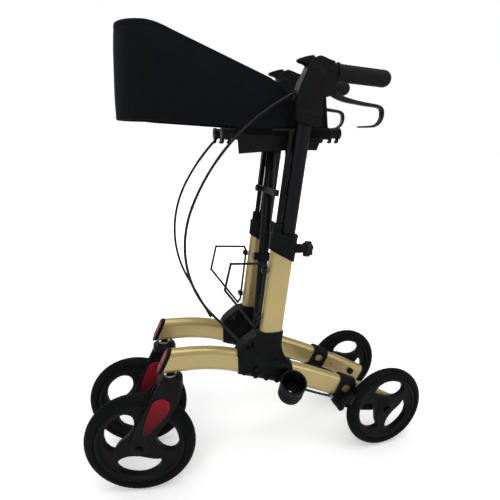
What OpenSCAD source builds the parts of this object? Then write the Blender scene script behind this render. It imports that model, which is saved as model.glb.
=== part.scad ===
// Folding four-wheel rollator walker, shown folded.
// Millimetres. X forward, Y to the user's left, Z up, floor at z = 0.
// The origin is on the floor at the middle of the folded walker's footprint.

/* [Show] */
// Which sub-part to show ("all" or one name from NODES)
node = "all";

/* [Wheels] */
// Rear wheel diameter over the tyre
rear_d = 200; // [170:1:220]
// Front wheel diameter over the tyre
front_d = 228; // [190:1:240]
// Lateral distance of each rear wheel's middle from the centre plane
rear_y = 104; // [100:0.5:110]
// Tyre width, rear
rear_w = 26; // [20:1:28]
// Tyre width, front
front_w = 28; // [20:1:30]
// Axle radius
axle_r = 5; // [4:0.5:6]
// Running clearance of shafts in their bores, on the radius
run_gap = 0.05; // [0.02:0.01:0.1]

/* [Frame] */
// Height of the lower tube's oval section
tube_h = 50; // [40:1:60]
// Width of the lower tube's oval section
tube_w = 28; // [22:1:34]
// Wall of the oval tubes
wall = 2; // [1.5:0.1:3]
// Lateral distance of each side frame's mid-plane from the centre plane (folded)
side_y = 72; // [66:1:80]
// Backward lean of the uprights, degrees
lean = 8; // [0:0.5:15]
// Length of the upright oval tube
upright_len = 252; // [200:1:300]

/* [Casters] */
// Steering stem position, forward of the rear axle
stem_x = 494; // [480:1:497]
// Wheel axle offset from the stem
trail = 70; // [50:1:80]
// Rest swivel angle of the left caster
swivel_left = -12; // [-27:1:27]
// Rest swivel angle of the right caster
swivel_right = -14; // [-27:1:27]

/* [Folding frame] */
// Distance between the end pivots of a cross tube
cross_len = 475.48; // [400:0.01:520]
// Height of the upper cross pivots above the lower ones, along the lean, folded
cross_rise = 470; // [400:1:500]
// Cross tube radius
cross_r = 11; // [8:0.5:13]
// Pivot pin radius
pin_r = 4; // [3:0.5:6]
// Guide post radius
post_r = 5.5; // [4:0.5:7]

/* [Handles and seat] */
// Height of the seat rails above the floor, folded
rail_z = 738; // [700:1:760]
// Seat rail radius
rail_r = 10; // [8:0.5:13]
// Width of one seat panel
panel = 92; // [80:1:100]
// Hand grip radius
grip_r = 16.5; // [14:0.5:20]
// Hand grip length
grip_len = 122; // [100:1:140]
// Lateral distance of the hand grips from the centre plane
grip_y = 80; // [74:1:86]

/* [Cane cup] */
// Cup bore radius
cup_r = 24; // [18:0.5:27]
// Cup bore depth
cup_depth = 45; // [30:1:60]
// Cup elevation of the open end above level
cup_tilt = 62; // [50:1:80]

/* [Hidden] */
NODES = ["left_lower_tube","left_upright","left_hub","left_collar","left_tube_caps","left_reflector",
 "left_wire_holder","left_rear_bracket","left_hardware","left_rear_rim","left_rear_tyre",
 "left_brake_arm","left_fork","left_fork_inserts","left_caster_pins","left_front_rim",
 "left_front_tyre","left_handle_tube","left_handle_body","left_grip","left_brake_lever",
 "left_cable","left_knob","left_seat_rail","left_seat_outer","left_seat_inner","left_back_arm",
 "left_back_tip",
 "right_lower_tube","right_upright","right_hub","right_collar","right_tube_caps","right_reflector",
 "right_wire_holder","right_rear_bracket","right_hardware","right_rear_rim","right_rear_tyre",
 "right_brake_arm","right_fork","right_fork_inserts","right_caster_pins","right_front_rim",
 "right_front_tyre","right_handle_tube","right_handle_body","right_grip","right_brake_lever",
 "right_cable","right_knob","right_seat_rail","right_seat_outer","right_seat_inner",
 "right_back_arm","right_back_tip",
 "cross_tube_a","cross_tube_b","pivot_bolt","cane_cup"];

$fn = 48;
gap = 0.05;       // still clearance between seated parts
x_mid = -287.144; // rear axle to the middle of the footprint
y_mid = -13.613;  // centre plane to the same middle; the cane cup stands out on the left
rear_r = rear_d / 2;
front_r = front_d / 2;
inner_h = tube_h - 2 * wall;
inner_w = tube_w - 2 * wall;

gold = [0.80, 0.71, 0.50];
dark = [0.10, 0.10, 0.11];
black = [0.05, 0.05, 0.055];
red = [0.55, 0.05, 0.07];
steel = [0.72, 0.73, 0.75];

// Positions in the side view are [x, z] from the floor under the rear axle.
// Lower tube centre line: long flat arc, tight arc, short straight
start_heading = 32;
long_turn = 10.8;
long_r = 2311;
tight_turn = 17.2;
tight_r = 337;
run_len = 72;
tube_start = [-31, 80];
function arc_end(pos, heading, r, turn) =
  pos + r * [sin(heading) - sin(heading - turn), cos(heading - turn) - cos(heading)];
function on_long(heading) = arc_end(tube_start, start_heading, long_r, start_heading - heading);
long_end = arc_end(tube_start, start_heading, long_r, long_turn);
mid_heading = start_heading - long_turn;
tight_end = arc_end(long_end, mid_heading, tight_r, tight_turn);
end_heading = mid_heading - tight_turn;
nose = [505, 306];
nose_slant = 26.6;

lean_base = [293, 0, 240]; // leaning datum at the lower cross pivots
eye_y = 36;                // cross pivots from the centre plane
eye_inset = eye_y - side_y; // the same from a side frame's mid-plane
cross_offset = 13;         // fore-aft offset of each cross tube
cross_angle = asin(2 * eye_y / cross_len);
upright_foot = 44;
upright_top = upright_foot + upright_len;
handle_offset = -6.6;      // handle tube centre, fore-aft
post_offset = 16.2;        // guide post centre, fore-aft
knob_v = 275;              // knob height along the lean
seat_angle = acos(eye_y / 2 / panel); // seat panel angle, folded

// ---------- helpers ----------
module place() translate([x_mid, y_mid, 0]) children();
module left() place() children();
module right() place() mirror([0, 1, 0]) children();
module leaning(y = 0) translate(lean_base + [0, y, 0]) rotate([0, -lean, 0]) children();

module oval(length, width) {
  square([length - width, width], center = true);
  for (side = [-1, 1])
    translate([side * (length - width) / 2, 0]) circle(d = width);
}

// round-ended bar in the plane
module bar(start, end, width) {
  span = end - start;
  translate(start) rotate(atan2(span[1], span[0])) {
    translate([0, -width / 2]) square([norm(span), width]);
    circle(d = width, $fn = 36);
    translate([norm(span), 0]) circle(d = width, $fn = 36);
  }
}
module chain(points, width)
  for (i = [0 : len(points) - 2]) bar(points[i], points[i + 1], width);

// section swept along an arc that starts at the origin heading +X and bends down
module bend(r, turn, n = 720)
  multmatrix([[0, 1, 0, 0], [0, 0, 1, 0], [1, 0, 0, -r], [0, 0, 0, 1]])
    rotate_extrude(angle = turn, $fn = n) translate([r, 0]) children();
module along(length) rotate([0, 90, 0]) linear_extrude(length) children();
module at(pos, heading) translate([pos[0], 0, pos[1]]) rotate([0, -heading, 0]) children();
// outline drawn in X and Z, thickness centred on y
module slab(thick) rotate([90, 0, 0]) linear_extrude(thick, center = true) children();
module y_pin(pos, y0, y1, r)
  translate([pos[0], y0, pos[1]]) rotate([-90, 0, 0]) cylinder(r = r, h = y1 - y0);
module x_pin(z, y, x0, x1, r, n = 48)
  translate([x0, y, z]) rotate([0, 90, 0]) cylinder(r = r, h = x1 - x0, $fn = n);
module hex(r, h) cylinder(r = r, h = h, $fn = 6);
module rod(start, end, r) {
  span = end - start;
  translate(start) rotate([0, acos(span[2] / norm(span)), atan2(span[1], span[0])])
    cylinder(r = r, h = norm(span));
}
// cubic Bezier through four control points, without its last point
function curve(p, steps = 8) = [
  for (i = [0 : steps - 1])
    let (t = i / steps, s = 1 - t)
    s * s * s * p[0] + 3 * s * s * t * p[1] + 3 * s * t * t * p[2] + t * t * t * p[3]];

module lower_path(length, width) {
  at(tube_start, start_heading) bend(long_r, long_turn) oval(length, width);
  at(long_end, mid_heading) bend(tight_r, tight_turn, 480) oval(length, width);
  at(tight_end, end_heading) along(run_len) oval(length, width);
}
module tube_section(thinner = 0) difference() {
  oval(tube_h - thinner, tube_w - thinner);
  oval(inner_h + thinner, inner_w + thinner);
}
module at_nose() translate([nose[0], 0, nose[1]]) rotate([0, -nose_slant, 0]) children();
// block in front of the slanted nose plane, moved back by a distance
module ahead(back) at_nose() translate([-back, -40, -70]) cube([110, 80, 140]);

// ---------- side frame ----------
module lower_tube() color(gold) translate([0, side_y, 0]) {
  difference() {
    at(tube_start, start_heading) bend(long_r, long_turn) tube_section();
    y_pin([0, rear_r], -30, 30, axle_r);
    y_pin([60, on_long(29.4)[1]], -30, 0, 2.5);
  }
  at(long_end, mid_heading) bend(tight_r, tight_turn, 480) tube_section(0.4);
  difference() {
    at(tight_end, end_heading) along(run_len) tube_section();
    ahead(6.5);
    translate([stem_x, 0, 255]) cylinder(r = 8, h = 35);
  }
}

module upright() color(gold) leaning(side_y) difference() {
  translate([0, 0, upright_foot]) linear_extrude(upright_len) oval(tube_h, tube_w);
  translate([0, 0, upright_foot - 1]) linear_extrude(upright_len + 2) oval(inner_h, inner_w);
  x_pin(knob_v, 0, -40, 0, 6.2);
}

hub_bolt_front = [318, 256];
hub_bolt_rear = [257, 240];
// hub outline, [x, z]
hub_line = concat(
  curve([[352, 252], [366, 262], [368, 284], [350, 308]]),
  curve([[350, 308], [338, 318], [326, 328], [309, 336]]),
  [[262, 333], [258, 320]],
  curve([[258, 320], [262, 298], [258, 282], [248, 266]]),
  curve([[248, 266], [238, 250], [230, 236], [232, 214]]),
  [[254, 210], [300, 226]]);

module hub_shell() {
  slab(30) polygon(hub_line);
  // sleeve round the lower tube
  intersection() {
    lower_path(tube_h + 7, tube_w + 11);
    translate([234, -30, 150]) cube([122, 60, 200]);
  }
  // socket round the upright
  leaning() translate([0, 0, 30]) linear_extrude(63) oval(tube_h + 7, tube_w + 7);
  // side bosses and ribs
  slab(42) {
    translate(hub_bolt_front) circle(r = 17);
    translate(hub_bolt_rear) circle(r = 12);
    chain([hub_bolt_front, [286, 250], hub_bolt_rear], 14);
  }
  slab(43)
    for (pos = [[344, 252], [320, 240], [296, 230], [272, 220]])
      translate(pos) circle(r = 6, $fn = 32);
  slab(33) chain([[352, 300], [338, 314], [318, 328]], 5);
}

lug_near = 11.1; // lug faces from the middle of a cross tube
lug_far = 18;
// raised lugs carry a block upward, others reach out to the side frame
module lug(x0, x1, z, raised)
  translate([x0, 0, z]) rotate([90, 0, 90]) linear_extrude(x1 - x0) union() {
    translate([eye_inset, 0]) circle(r = 12);
    if (raised) translate([eye_inset - 9, 0]) square([18, 30]);
    else translate([eye_inset, -12]) square([-eye_inset - 17, 24]);
  }
// two lugs and their pin, astride the front or rear cross tube
module lug_pair(front, z, raised) {
  middle = front ? cross_offset : -cross_offset;
  lug(middle - lug_far, middle - lug_near, z, raised);
  lug(middle + lug_near, middle + lug_far, z, raised);
  x_pin(z, eye_inset, middle - lug_far, middle + lug_far, pin_r);
}

module hub(front, cup_seat) color(dark) translate([0, side_y, 0]) difference() {
  union() {
    hub_shell();
    leaning() lug_pair(front, 0, false);
  }
  difference() {
    lower_path(tube_h + 2 * gap, tube_w + 2 * gap);
    translate([0, -50, 0]) cube([200, 100, 500]);
  }
  leaning() translate([0, 0, upright_foot - gap])
    linear_extrude(110) oval(tube_h + 2 * gap, tube_w + 2 * gap);
  slab(60) polygon([[324, 303], [343, 304], [334, 312], [323, 321]]);
  if (cup_seat) translate([0, -side_y, 0]) cup_axis() cup_taper(gap);
  // sockets for the two cross bolts, both faces
  for (y = [19.5, -25]) {
    y_pin(hub_bolt_front, y, y + 5.5, 9);
    y_pin(hub_bolt_rear, y, y + 5.5, 7);
  }
}

module collar() color(dark) leaning(side_y) difference() {
  union() {
    translate([0, 0, 240]) linear_extrude(upright_top + 9 - 240) oval(58, 36);
    translate([post_offset, 0, 290]) cylinder(r = 10, h = 35);
    translate([post_offset - 6, -9, 290]) cube([13, 18, 35]);
    x_pin(knob_v, 0, -42, -10, 10);
    translate([0, 0, upright_top + 4]) linear_extrude(3) oval(60, 38);
  }
  translate([0, 0, 200])
    linear_extrude(upright_top - 200 + gap) oval(tube_h + 2 * gap, tube_w + 2 * gap);
  // slanted lower edge, higher in front
  translate([0, 0, 258]) rotate([0, -23, 0]) translate([-60, -40, -60]) cube([120, 80, 60]);
  translate([handle_offset, 0, 280]) linear_extrude(80) oval(32.2, 22.2);
  translate([post_offset, 0, 280]) cylinder(r = post_r + 0.07, h = 80);
  x_pin(knob_v, 0, -60, -10, 6.06);
}

module tube_caps() color(black) translate([0, side_y, 0]) {
  difference() {
    union() {
      // rim over the slanted nose
      difference() {
        intersection() {
          lower_path(tube_h + 1.2, tube_w + 1.2);
          ahead(6.45);
        }
        ahead(0);
      }
      // plug inside the tube
      difference() {
        intersection() {
          lower_path(inner_h - 0.1, inner_w - 0.1);
          translate([452, -30, 240]) cube([70, 60, 100]);
        }
        ahead(6.4);
      }
      translate([stem_x, 0, 270.8]) cylinder(r = 7.9, h = 18);
    }
    translate([stem_x, 0, 260]) cylinder(r = axle_r + run_gap, h = 38);
    // recess for the reflector
    intersection() {
      lower_path(43, 21);
      ahead(2.6);
    }
  }
  // rear end plug
  at(tube_start, start_heading) translate([-3, 0, 0]) along(3) oval(tube_h + 1, tube_w + 1);
  at(tube_start, start_heading) along(12) oval(inner_h - 0.2, inner_w - 0.2);
}

module reflector() color(red) translate([0, side_y, 0]) difference() {
  intersection() {
    lower_path(42.8, 20.8);
    ahead(2.55);
  }
  ahead(-1);
  for (i = [-2 : 2])
    at_nose() translate([1, 0, i * 6.4]) rotate([90, 0, 0])
      cylinder(r = 0.8, h = 30, center = true, $fn = 16);
}

// corners of the closed wire loop, [x, z]
wire_points = [[292, 472], [297, 482], [364, 488], [377.5, 434], [315, 343], [308.5, 352]];
clip_heights = [367, 467];
// how far forward a clip sits of the upper one, down the leaning upright
function clip_shift(z) = (467 - z) * 0.1405;

module wire_holder() color(black) translate([0, side_y, 0]) {
  for (i = [0 : 5]) {
    start = wire_points[i];
    end = wire_points[(i + 1) % 6];
    rod([start[0], 0, start[1]], [end[0], 0, end[1]], 2);
    translate([start[0], 0, start[1]]) sphere(r = 2.25, $fn = 64);
  }
  for (z = clip_heights)
    translate([289.4 + clip_shift(z), -5, z - 5]) difference() {
      cube([8.5, 10, 10]);
      translate([8.5, 5, 5]) rotate([0, 90, 0]) cylinder(r = 2.6, h = 2, center = true, $fn = 36);
    }
}

brake_pivot = [121, 128];
bracket_heading = 28.25; // tube heading at the middle of the bracket
module at_bracket() at(on_long(bracket_heading), bracket_heading) children();
module at_anchor() at([123.2, 136.7], 27) children(); // cable anchor under the tube

module rear_bracket() color(black) translate([0, side_y, 0]) difference() {
  union() {
    at_bracket() translate([-22, 0, 0]) along(44) oval(60, 38);
    // under-tube brake body
    translate([0, 2.3, 0]) slab(28.6) polygon(concat(
      [[124, 152]],
      curve([[124, 124], [104, 112], [82, 98], [60, 88]], 6),
      [[48, 104], [84, 140]]));
    // outboard plate to the axle
    translate([0, 15.35, 0]) slab(2.5) polygon(concat(
      [[110, 176], [124, 150]],
      curve([[124, 124], [98, 104], [50, 84], [10, 80]]),
      curve([[10, 80], [-14, 74], [-26, 92], [-18, 108]]),
      [[60, 150]]));
    y_pin(brake_pivot, 2, 23.8, 8);
    y_pin(brake_pivot, 20, 42, 3);
    y_pin(brake_pivot, 40.2, 42.5, 5);
    // cable anchor ear
    at_anchor() translate([-6, 4, -7]) cube([10, 10, 12]);
  }
  difference() {
    lower_path(tube_h + 2 * gap, tube_w + 2 * gap);
    translate([200, -50, 0]) cube([400, 100, 500]);
  }
  // oval side window showing the tube
  at_bracket() translate([0, 0, 4]) rotate([90, 0, 0])
    linear_extrude(60, center = true) oval(24, 18);
  y_pin([0, rear_r], -30, 30, axle_r);
  at_anchor() translate([-20, 9, 0]) along(40) circle(r = 3.55);
  at_anchor() translate([4.6, 9, 0]) along(30) circle(r = 5.1, $fn = 36);
}

module hardware() color(steel) translate([0, side_y, 0]) {
  // rear axle with head and cap nut
  wheel_y = rear_y - side_y;
  y_pin([0, rear_r], -20, wheel_y + 16, axle_r);
  translate([0, -14.2, rear_r]) rotate([90, 0, 0]) hex(9, 6);
  translate([0, wheel_y + 15, rear_r]) rotate([-90, 0, 0]) hex(9, 6);
  translate([0, wheel_y + 21, rear_r]) rotate([-90, 0, 0]) cylinder(r1 = 7, r2 = 4.5, h = 4.5);
  // hub bolt heads, both faces
  for (side = [-1, 1])
    scale([1, side, 1]) {
      y_pin(hub_bolt_front, 19.6, 23.4, 5.5);
      y_pin(hub_bolt_rear, 19.6, 23.4, 5);
    }
  // wire clip screws
  for (z = clip_heights)
    translate([297.95 + clip_shift(z), 0, z]) rotate([0, 90, 0]) {
      translate([0, 0, -0.95]) cylinder(r = 2.5, h = 1.9, $fn = 36);
      cylinder(r1 = 3.6, r2 = 2.6, h = 2.2, $fn = 36);
    }
  // cable adjuster under the tube
  at_anchor() translate([-8, 9, 0]) difference() {
    union() {
      along(24) circle(r = 3.5);
      translate([13, 0, 0]) along(5) circle(r = 5, $fn = 36);
    }
    translate([10, 0, 0]) along(20) circle(r = 2.3, $fn = 36);
  }
}

// ---------- wheels: built on the Y axis, centred ----------
// opening between spokes: [fraction of the wheel radius, degrees]
opening_polar = concat(
  curve([[0.50, -50], [0.40, -34], [0.30, -26], [0.275, 0]]),
  curve([[0.275, 0], [0.26, 28], [0.36, 46], [0.50, 46]]),
  curve([[0.50, 46], [0.60, 47], [0.685, 40], [0.70, 24]]),
  curve([[0.70, 24], [0.705, 0], [0.70, -34], [0.50, -50]], 10));
module opening(r) polygon([for (q = opening_polar) r * q[0] * [cos(q[1]), sin(q[1])]]);

module rim(r, width, hub_width, turn) difference() {
  rotate([0, turn - 58, 0]) union() {
    rotate([90, 0, 0]) rotate_extrude($fn = 96) {
      translate([0.735 * r, -width / 2 + 1.5]) square([0.075 * r, width - 3]);
      translate([0.79 * r, -width / 2 + 3]) square([0.025 * r, width - 6]);
      translate([0.10 * r, -width / 2 + 6]) square([0.64 * r, width - 12]);
      translate([0.722 * r, -width / 2 + 4]) square([0.03 * r, width - 8]);
    }
    rotate([90, 0, 0]) cylinder(r = 0.2 * r, h = width - 4, center = true);
    rotate([90, 0, 0]) cylinder(r = 0.13 * r, h = hub_width, center = true);
  }
  for (i = [0 : 2]) rotate([0, i * 120 + turn, 0]) slab(60) opening(r);
  rotate([90, 0, 0]) cylinder(r = axle_r + run_gap, h = 80, center = true);
  for (i = [0 : 2])
    rotate([0, i * 120 + turn + 60, 0]) translate([0.60 * r, 0, 0]) rotate([90, 0, 0])
      cylinder(r = 1.6, h = 60, center = true, $fn = 16);
}
module tyre(r, width) rotate([90, 0, 0]) rotate_extrude($fn = 96) difference() {
  intersection() {
    translate([r - width / 2, 0]) circle(d = width);
    translate([0.815 * r + 0.02, -30]) square([60, 60]);
  }
  for (side = [-1, 1])
    translate([0.90 * r, side * width / 2 * 0.98]) circle(r = 1, $fn = 16);
}
module rear_rim() color(dark) translate([0, rear_y, rear_r])
  rim(rear_r, rear_w, hub_width = 29, turn = 20);
module rear_tyre() color(black) translate([0, rear_y, rear_r]) tyre(rear_r, rear_w);

// ---------- caster: built pointing forward, stem at the origin ----------
module caster(swivel, y) translate([stem_x, y, 0]) rotate([0, 0, swivel]) children();
module left_caster() place() caster(swivel_left, side_y) children();
module right_caster() place() caster(swivel_right, -side_y) children();

leg_y = 20.6; // middle of each fork leg
// fork leg outline, [x, z]
leg_line = concat(
  curve([[-22, 250], [-24, 214], [8, 176], [50, 118]], 10),
  curve([[50, 118], [54, 94], [86, 94], [86, 120]]),
  curve([[86, 120], [78, 160], [52, 196], [30, 246]], 10),
  [[24, 256], [-16, 256]]);
// leaf-shaped recess in each leg, [x, z]
leaf_line = concat(
  curve([[4, 224], [-8, 204], [14, 182], [46, 149]], 10),
  curve([[46, 149], [54, 141], [61, 145], [59, 156]], 4),
  curve([[59, 156], [53, 180], [44, 202], [35, 221]]),
  curve([[35, 221], [28, 231], [10, 232], [4, 224]], 4));

module fork() color(dark) difference() {
  union() {
    for (side = [-1, 1]) translate([0, side * leg_y, 0]) slab(6.8) polygon(leg_line);
    // crown block with rounded plan
    translate([0, 0, 238]) linear_extrude(26) translate([1, 0]) oval(50, 46);
    translate([0, 0, 262]) cylinder(r1 = 21, r2 = 15, h = 5);
    for (side = [-1, 1])
      translate([trail, side * leg_y, front_r]) rotate([90, 0, 0])
        cylinder(r = 13, h = 8.4, center = true);
  }
  for (side = [-1, 1]) translate([0, side * 24.5, 0]) slab(3) polygon(leaf_line);
  translate([trail, 0, front_r]) rotate([90, 0, 0]) cylinder(r = axle_r, h = 80, center = true);
  translate([0, 0, 230]) cylinder(r = axle_r, h = 60);
}
module fork_inserts() color(red)
  for (side = [-1, 1])
    translate([0, side * 24.55, 0]) slab(2.9) intersection() {
      polygon(leaf_line);
      translate([32, 190]) square([90, 120], center = true);
    }
module caster_pins() color(steel) {
  // steering stem with its washers
  translate([0, 0, 231]) cylinder(r = axle_r, h = 65.5);
  translate([0, 0, 267.1]) cylinder(r = 12.5, h = 3.4);
  translate([0, 0, 231]) mirror([0, 0, 1]) cylinder(r1 = 8, r2 = 6, h = 1.5);
  translate([0, 0, 231]) cylinder(r = 8, h = 6.9);
  // wheel axle with a nut at each end
  translate([trail, 0, front_r]) rotate([90, 0, 0]) {
    cylinder(r = axle_r, h = 56, center = true);
    for (flip = [0, 1])
      mirror([0, 0, flip]) translate([0, 0, 24.9]) {
        hex(8.5, 4);
        cylinder(r = 5.8, h = 6, $fn = 32);
      }
  }
}
module front_rim() color(dark) translate([trail, 0, front_r])
  rim(front_r, front_w, hub_width = 32.6, turn = -35);
module front_tyre() color(black) translate([trail, 0, front_r]) tyre(front_r, front_w);

// ---------- brake ----------
module brake_arm() color(black) translate([0, side_y, 0]) difference() {
  union() {
    translate([0, 32.1, 0]) slab(16) {
      chain([brake_pivot, [108, 142], [98, 150]], 12);
      translate(brake_pivot) circle(r = 8);
    }
    // shoe curved round the tyre
    translate([0, 0, rear_r]) rotate([0, -25, 0]) intersection() {
      translate([100, 20, -13]) cube([14, 24, 26]);
      rotate([-90, 0, 0]) difference() {
        cylinder(r = 111, h = 80, $fn = 256);
        translate([0, 0, -1]) cylinder(r = rear_r + 1.6, h = 90, $fn = 256);
      }
    }
  }
  y_pin(brake_pivot, 10, 60, 3 + run_gap);
}

// ---------- handle ----------
module handle_tube() color(black) leaning(side_y) difference() {
  // oval with a groove down each side
  translate([handle_offset, 0, 150]) linear_extrude(400) difference() {
    oval(32, 22);
    for (side = [-1, 1]) translate([0, side * 13.2]) circle(r = 3.8, $fn = 32);
  }
  // bore
  translate([handle_offset, 0, 149]) linear_extrude(402) {
    square([12, 12], center = true);
    for (side = [-1, 1]) translate([side * 6, 0]) circle(r = 6.5, $fn = 32);
  }
  // row of height holes in the rear face
  for (i = [0 : 5]) x_pin(218 + i * 25, 0, -30, -12, 3.6, 24);
}

// handle body outline, [x, z]
body_line = concat(
  [[185, 749], [238, 760]],
  curve([[238, 760], [240, 790], [236, 818], [222, 840]]),
  curve([[222, 840], [214, 856], [208, 872], [192, 875]]),
  curve([[192, 875], [180, 874], [170, 866], [154, 867]], 6),
  [[154.9, 833]],
  curve([[154.9, 833], [170, 832], [182, 826], [184, 812]], 6),
  curve([[184, 812], [185, 796], [181, 780], [185, 762]], 6));
// horn at the front of the body, [x, z]
horn_line = concat(
  curve([[216, 842], [208, 852], [212, 860], [228, 862]]),
  curve([[228, 862], [234, 864], [234, 869], [229, 869.5]], 6),
  curve([[229, 869.5], [220, 872], [210, 877], [194, 876]], 6),
  [[190, 846]]);
lever_pivot = [164, 815];
grip_pitch = -93.3; // turns +Z to the grip's rearward axis
ferrule = [233, 811];
ferrule_heading = -25.5;
back_x = 232; // backrest hinge
back_y = 58;
hinge_y = -22; // the hinge from the grip plane

module handle_body() color(black) translate([0, grip_y, 0]) difference() {
  union() {
    slab(28) polygon(body_line);
    slab(16) polygon(horn_line);
    slab(31) {
      translate([200, 842]) circle(r = 14);
      chain([[190, 768], [226, 776]], 4);
      chain([[191, 758], [227, 766]], 4);
    }
    // neck and core of the grip
    translate([172, 0, 850]) rotate([0, grip_pitch, 0]) {
      cylinder(r = 15.5, h = 18);
      cylinder(r = 11, h = 130);
    }
    // lever cheeks
    for (side = [-1, 1])
      translate([0, side * 10.6, 0]) slab(6.6) {
        translate(lever_pivot) circle(r = 9);
        polygon([[156, 812], [158, 836], [190, 836], [190, 806], [166, 806]]);
      }
    y_pin(lever_pivot, -12, 12, 3);
    // backrest hinge cheeks and pin
    for (z = [764, 804])
      translate([0, 0, z]) {
        translate([back_x, hinge_y, 0]) cylinder(r = 6, h = 4);
        translate([back_x - 6, hinge_y, 0]) cube([9, 12, 4]);
      }
    translate([back_x, hinge_y, 764]) cylinder(r = 3, h = 44);
    // cable ferrule boss
    at(ferrule, ferrule_heading) translate([-8, -4, 0]) along(9) circle(r = 5);
  }
  leaning(side_y - grip_y) translate([handle_offset, 0, 490])
    linear_extrude(60 + gap) oval(32 + 2 * gap, 22 + 2 * gap);
  // room for the lever
  slab(14.4) difference() {
    translate([160, 816]) square([34, 26], center = true);
    polygon(concat(body_line, [[185, 700], [300, 700]]));
  }
  at(ferrule, ferrule_heading) translate([-4, -4, 0]) along(20) circle(r = 2.3, $fn = 36);
}

module grip() color(black)
  translate([154, grip_y, 848.96]) rotate([0, grip_pitch, 0]) difference() {
    rotate_extrude() {
      translate([0, 0.6]) square([grip_r - 1, grip_len - grip_r - 0.6]);
      translate([0, 8]) square([grip_r, grip_len - grip_r - 8]);
      intersection() {
        translate([0, grip_len - grip_r]) circle(r = grip_r);
        translate([0, 60]) square([30, 100]);
      }
      translate([0, 0.6]) square([grip_r + 2.5, 4]);
    }
    for (i = [0 : 9])
      translate([0, 0, 16 + i * 8.6]) rotate_extrude()
        translate([grip_r + 0.6, 0]) circle(r = 1.5, $fn = 16);
    cylinder(r = 11 + gap, h = 112);
  }

// lever centre line from its pivot, [x, z]
lever_points = [lever_pivot, [141, 803], [100, 796], [58, 790.5],
  [49, 789], [46, 768], [62, 752], [101, 750.5]];
module lever_bar(i, width) bar(lever_points[i], lever_points[i + 1], width);
module brake_lever() color(black) translate([0, grip_y, 0]) difference() {
  union() {
    slab(14) {
      translate(lever_pivot) circle(r = 8);
      lever_bar(0, 11);
      lever_bar(1, 9);
    }
    slab(15) {
      lever_bar(2, 8);
      lever_bar(3, 8);
      lever_bar(4, 7);
      lever_bar(5, 6);
    }
    slab(11) lever_bar(6, 5);
  }
  y_pin(lever_pivot, -20, 20, 3 + run_gap);
}

// cable: an upper loop (each side's hangs its own way) and an under-tube run
cable_r = 2.2;
cable_start = [241.6, 806.9];
module cable(first_r, first_turn, second_r, second_turn, tail) color(black) {
  first_end = arc_end(cable_start, ferrule_heading, first_r, first_turn);
  second_heading = ferrule_heading - first_turn;
  second_end = arc_end(first_end, second_heading, second_r, second_turn);
  tail_heading = second_heading - second_turn;
  translate([0, grip_y - 4, 0]) {
    at(cable_start, ferrule_heading) {
      translate([-10, 0, 0]) along(9.6) circle(r = cable_r);
      bend(first_r, first_turn - 0.06, 360) circle(r = cable_r);
    }
    at(first_end, second_heading) bend(second_r, second_turn - 0.12, 240) circle(r = cable_r);
    at(second_end, tail_heading) along(tail) circle(r = cable_r);
    // crimped sleeves at the joins
    for (join = [[cable_start, ferrule_heading], [first_end, second_heading],
                 [second_end, tail_heading]])
      at(join[0], join[1]) translate([-2, 0, 0]) along(4) circle(r = 2.6);
  }
  translate([0, side_y + 9, 0]) at(tube_start, start_heading)
    translate([0, 0, -long_r]) rotate([0, 5.05, 0]) translate([0, 0, long_r])
      bend(long_r, 2.42) translate([-29.5, 0]) circle(r = cable_r);
}

module knob() color(black)
  leaning(side_y) translate([-63, 0, knob_v]) rotate([0, 90, 0]) difference() {
    union() {
      cylinder(r = 13.5, h = 14);
      for (i = [0 : 5])
        rotate(i * 60) translate([12.5, 0, 0]) cylinder(r = 4.6, h = 14, $fn = 32);
      translate([0, 0, 14]) cylinder(r = 8.5, h = 7);
      cylinder(r = 6, h = 39.6);
      translate([0, 0, -2]) cylinder(r1 = 8, r2 = 10, h = 2.2);
    }
    translate([0, 0, -3]) hex(3, 3);
  }

// ---------- seat ----------
// side plate outlines, [x, z]
short_plate = [[172, 729], [285, 734], [283, 703], [230, 706], [180, 705]];
long_plate = [[165, 729], [341, 737], [338, 700], [290, 703], [230, 706], [175, 705]];

module seat_rail(front, plate) color(dark) translate([0, side_y, 0]) union() {
  translate([119, eye_inset, rail_z]) rotate([0, 90, 0]) cylinder(r = rail_r, h = 247);
  for (x = [117, 362])
    translate([x, eye_inset, rail_z]) rotate([0, 90, 0]) cylinder(r = rail_r + 1.5, h = 6);
  // hooks under both ends
  for (x = [121, 137, 352, 365])
    translate([x, eye_inset, 0]) slab(6)
      chain([[0, rail_z - 6], [1, rail_z - 16], [3, rail_z - 17]], 5);
  leaning() {
    lug_pair(front, cross_rise, true);
    translate([post_offset, 0, 290]) cylinder(r = post_r, h = 210.5);
  }
  // arm from the rail to the post
  y_pin([239.2, rail_z], eye_inset, 4, 5.5);
  // side plate on the outboard side of the rail
  translate([0, -20.7, 0]) slab(2.6) polygon(plate);
  translate([196, eye_inset + 4, 728]) cube([64, 14, 5]);
}
// folding catch: hangs from the right rail's front lug and hooks in front of the left post
module catch_bar() color(dark) leaning() {
  translate([27, -42, 378]) cube([7, 12, 92]);
  translate([27, -42, 378]) cube([7, 116, 12]);
  translate([24.5, 60, 378]) cube([6, 14, 12]);
  translate([34, -14, 384]) rotate([0, 90, 0]) {
    cylinder(r = 4, h = 6);
    translate([0, 0, 6]) cylinder(r = 7, h = 5);
  }
}

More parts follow.
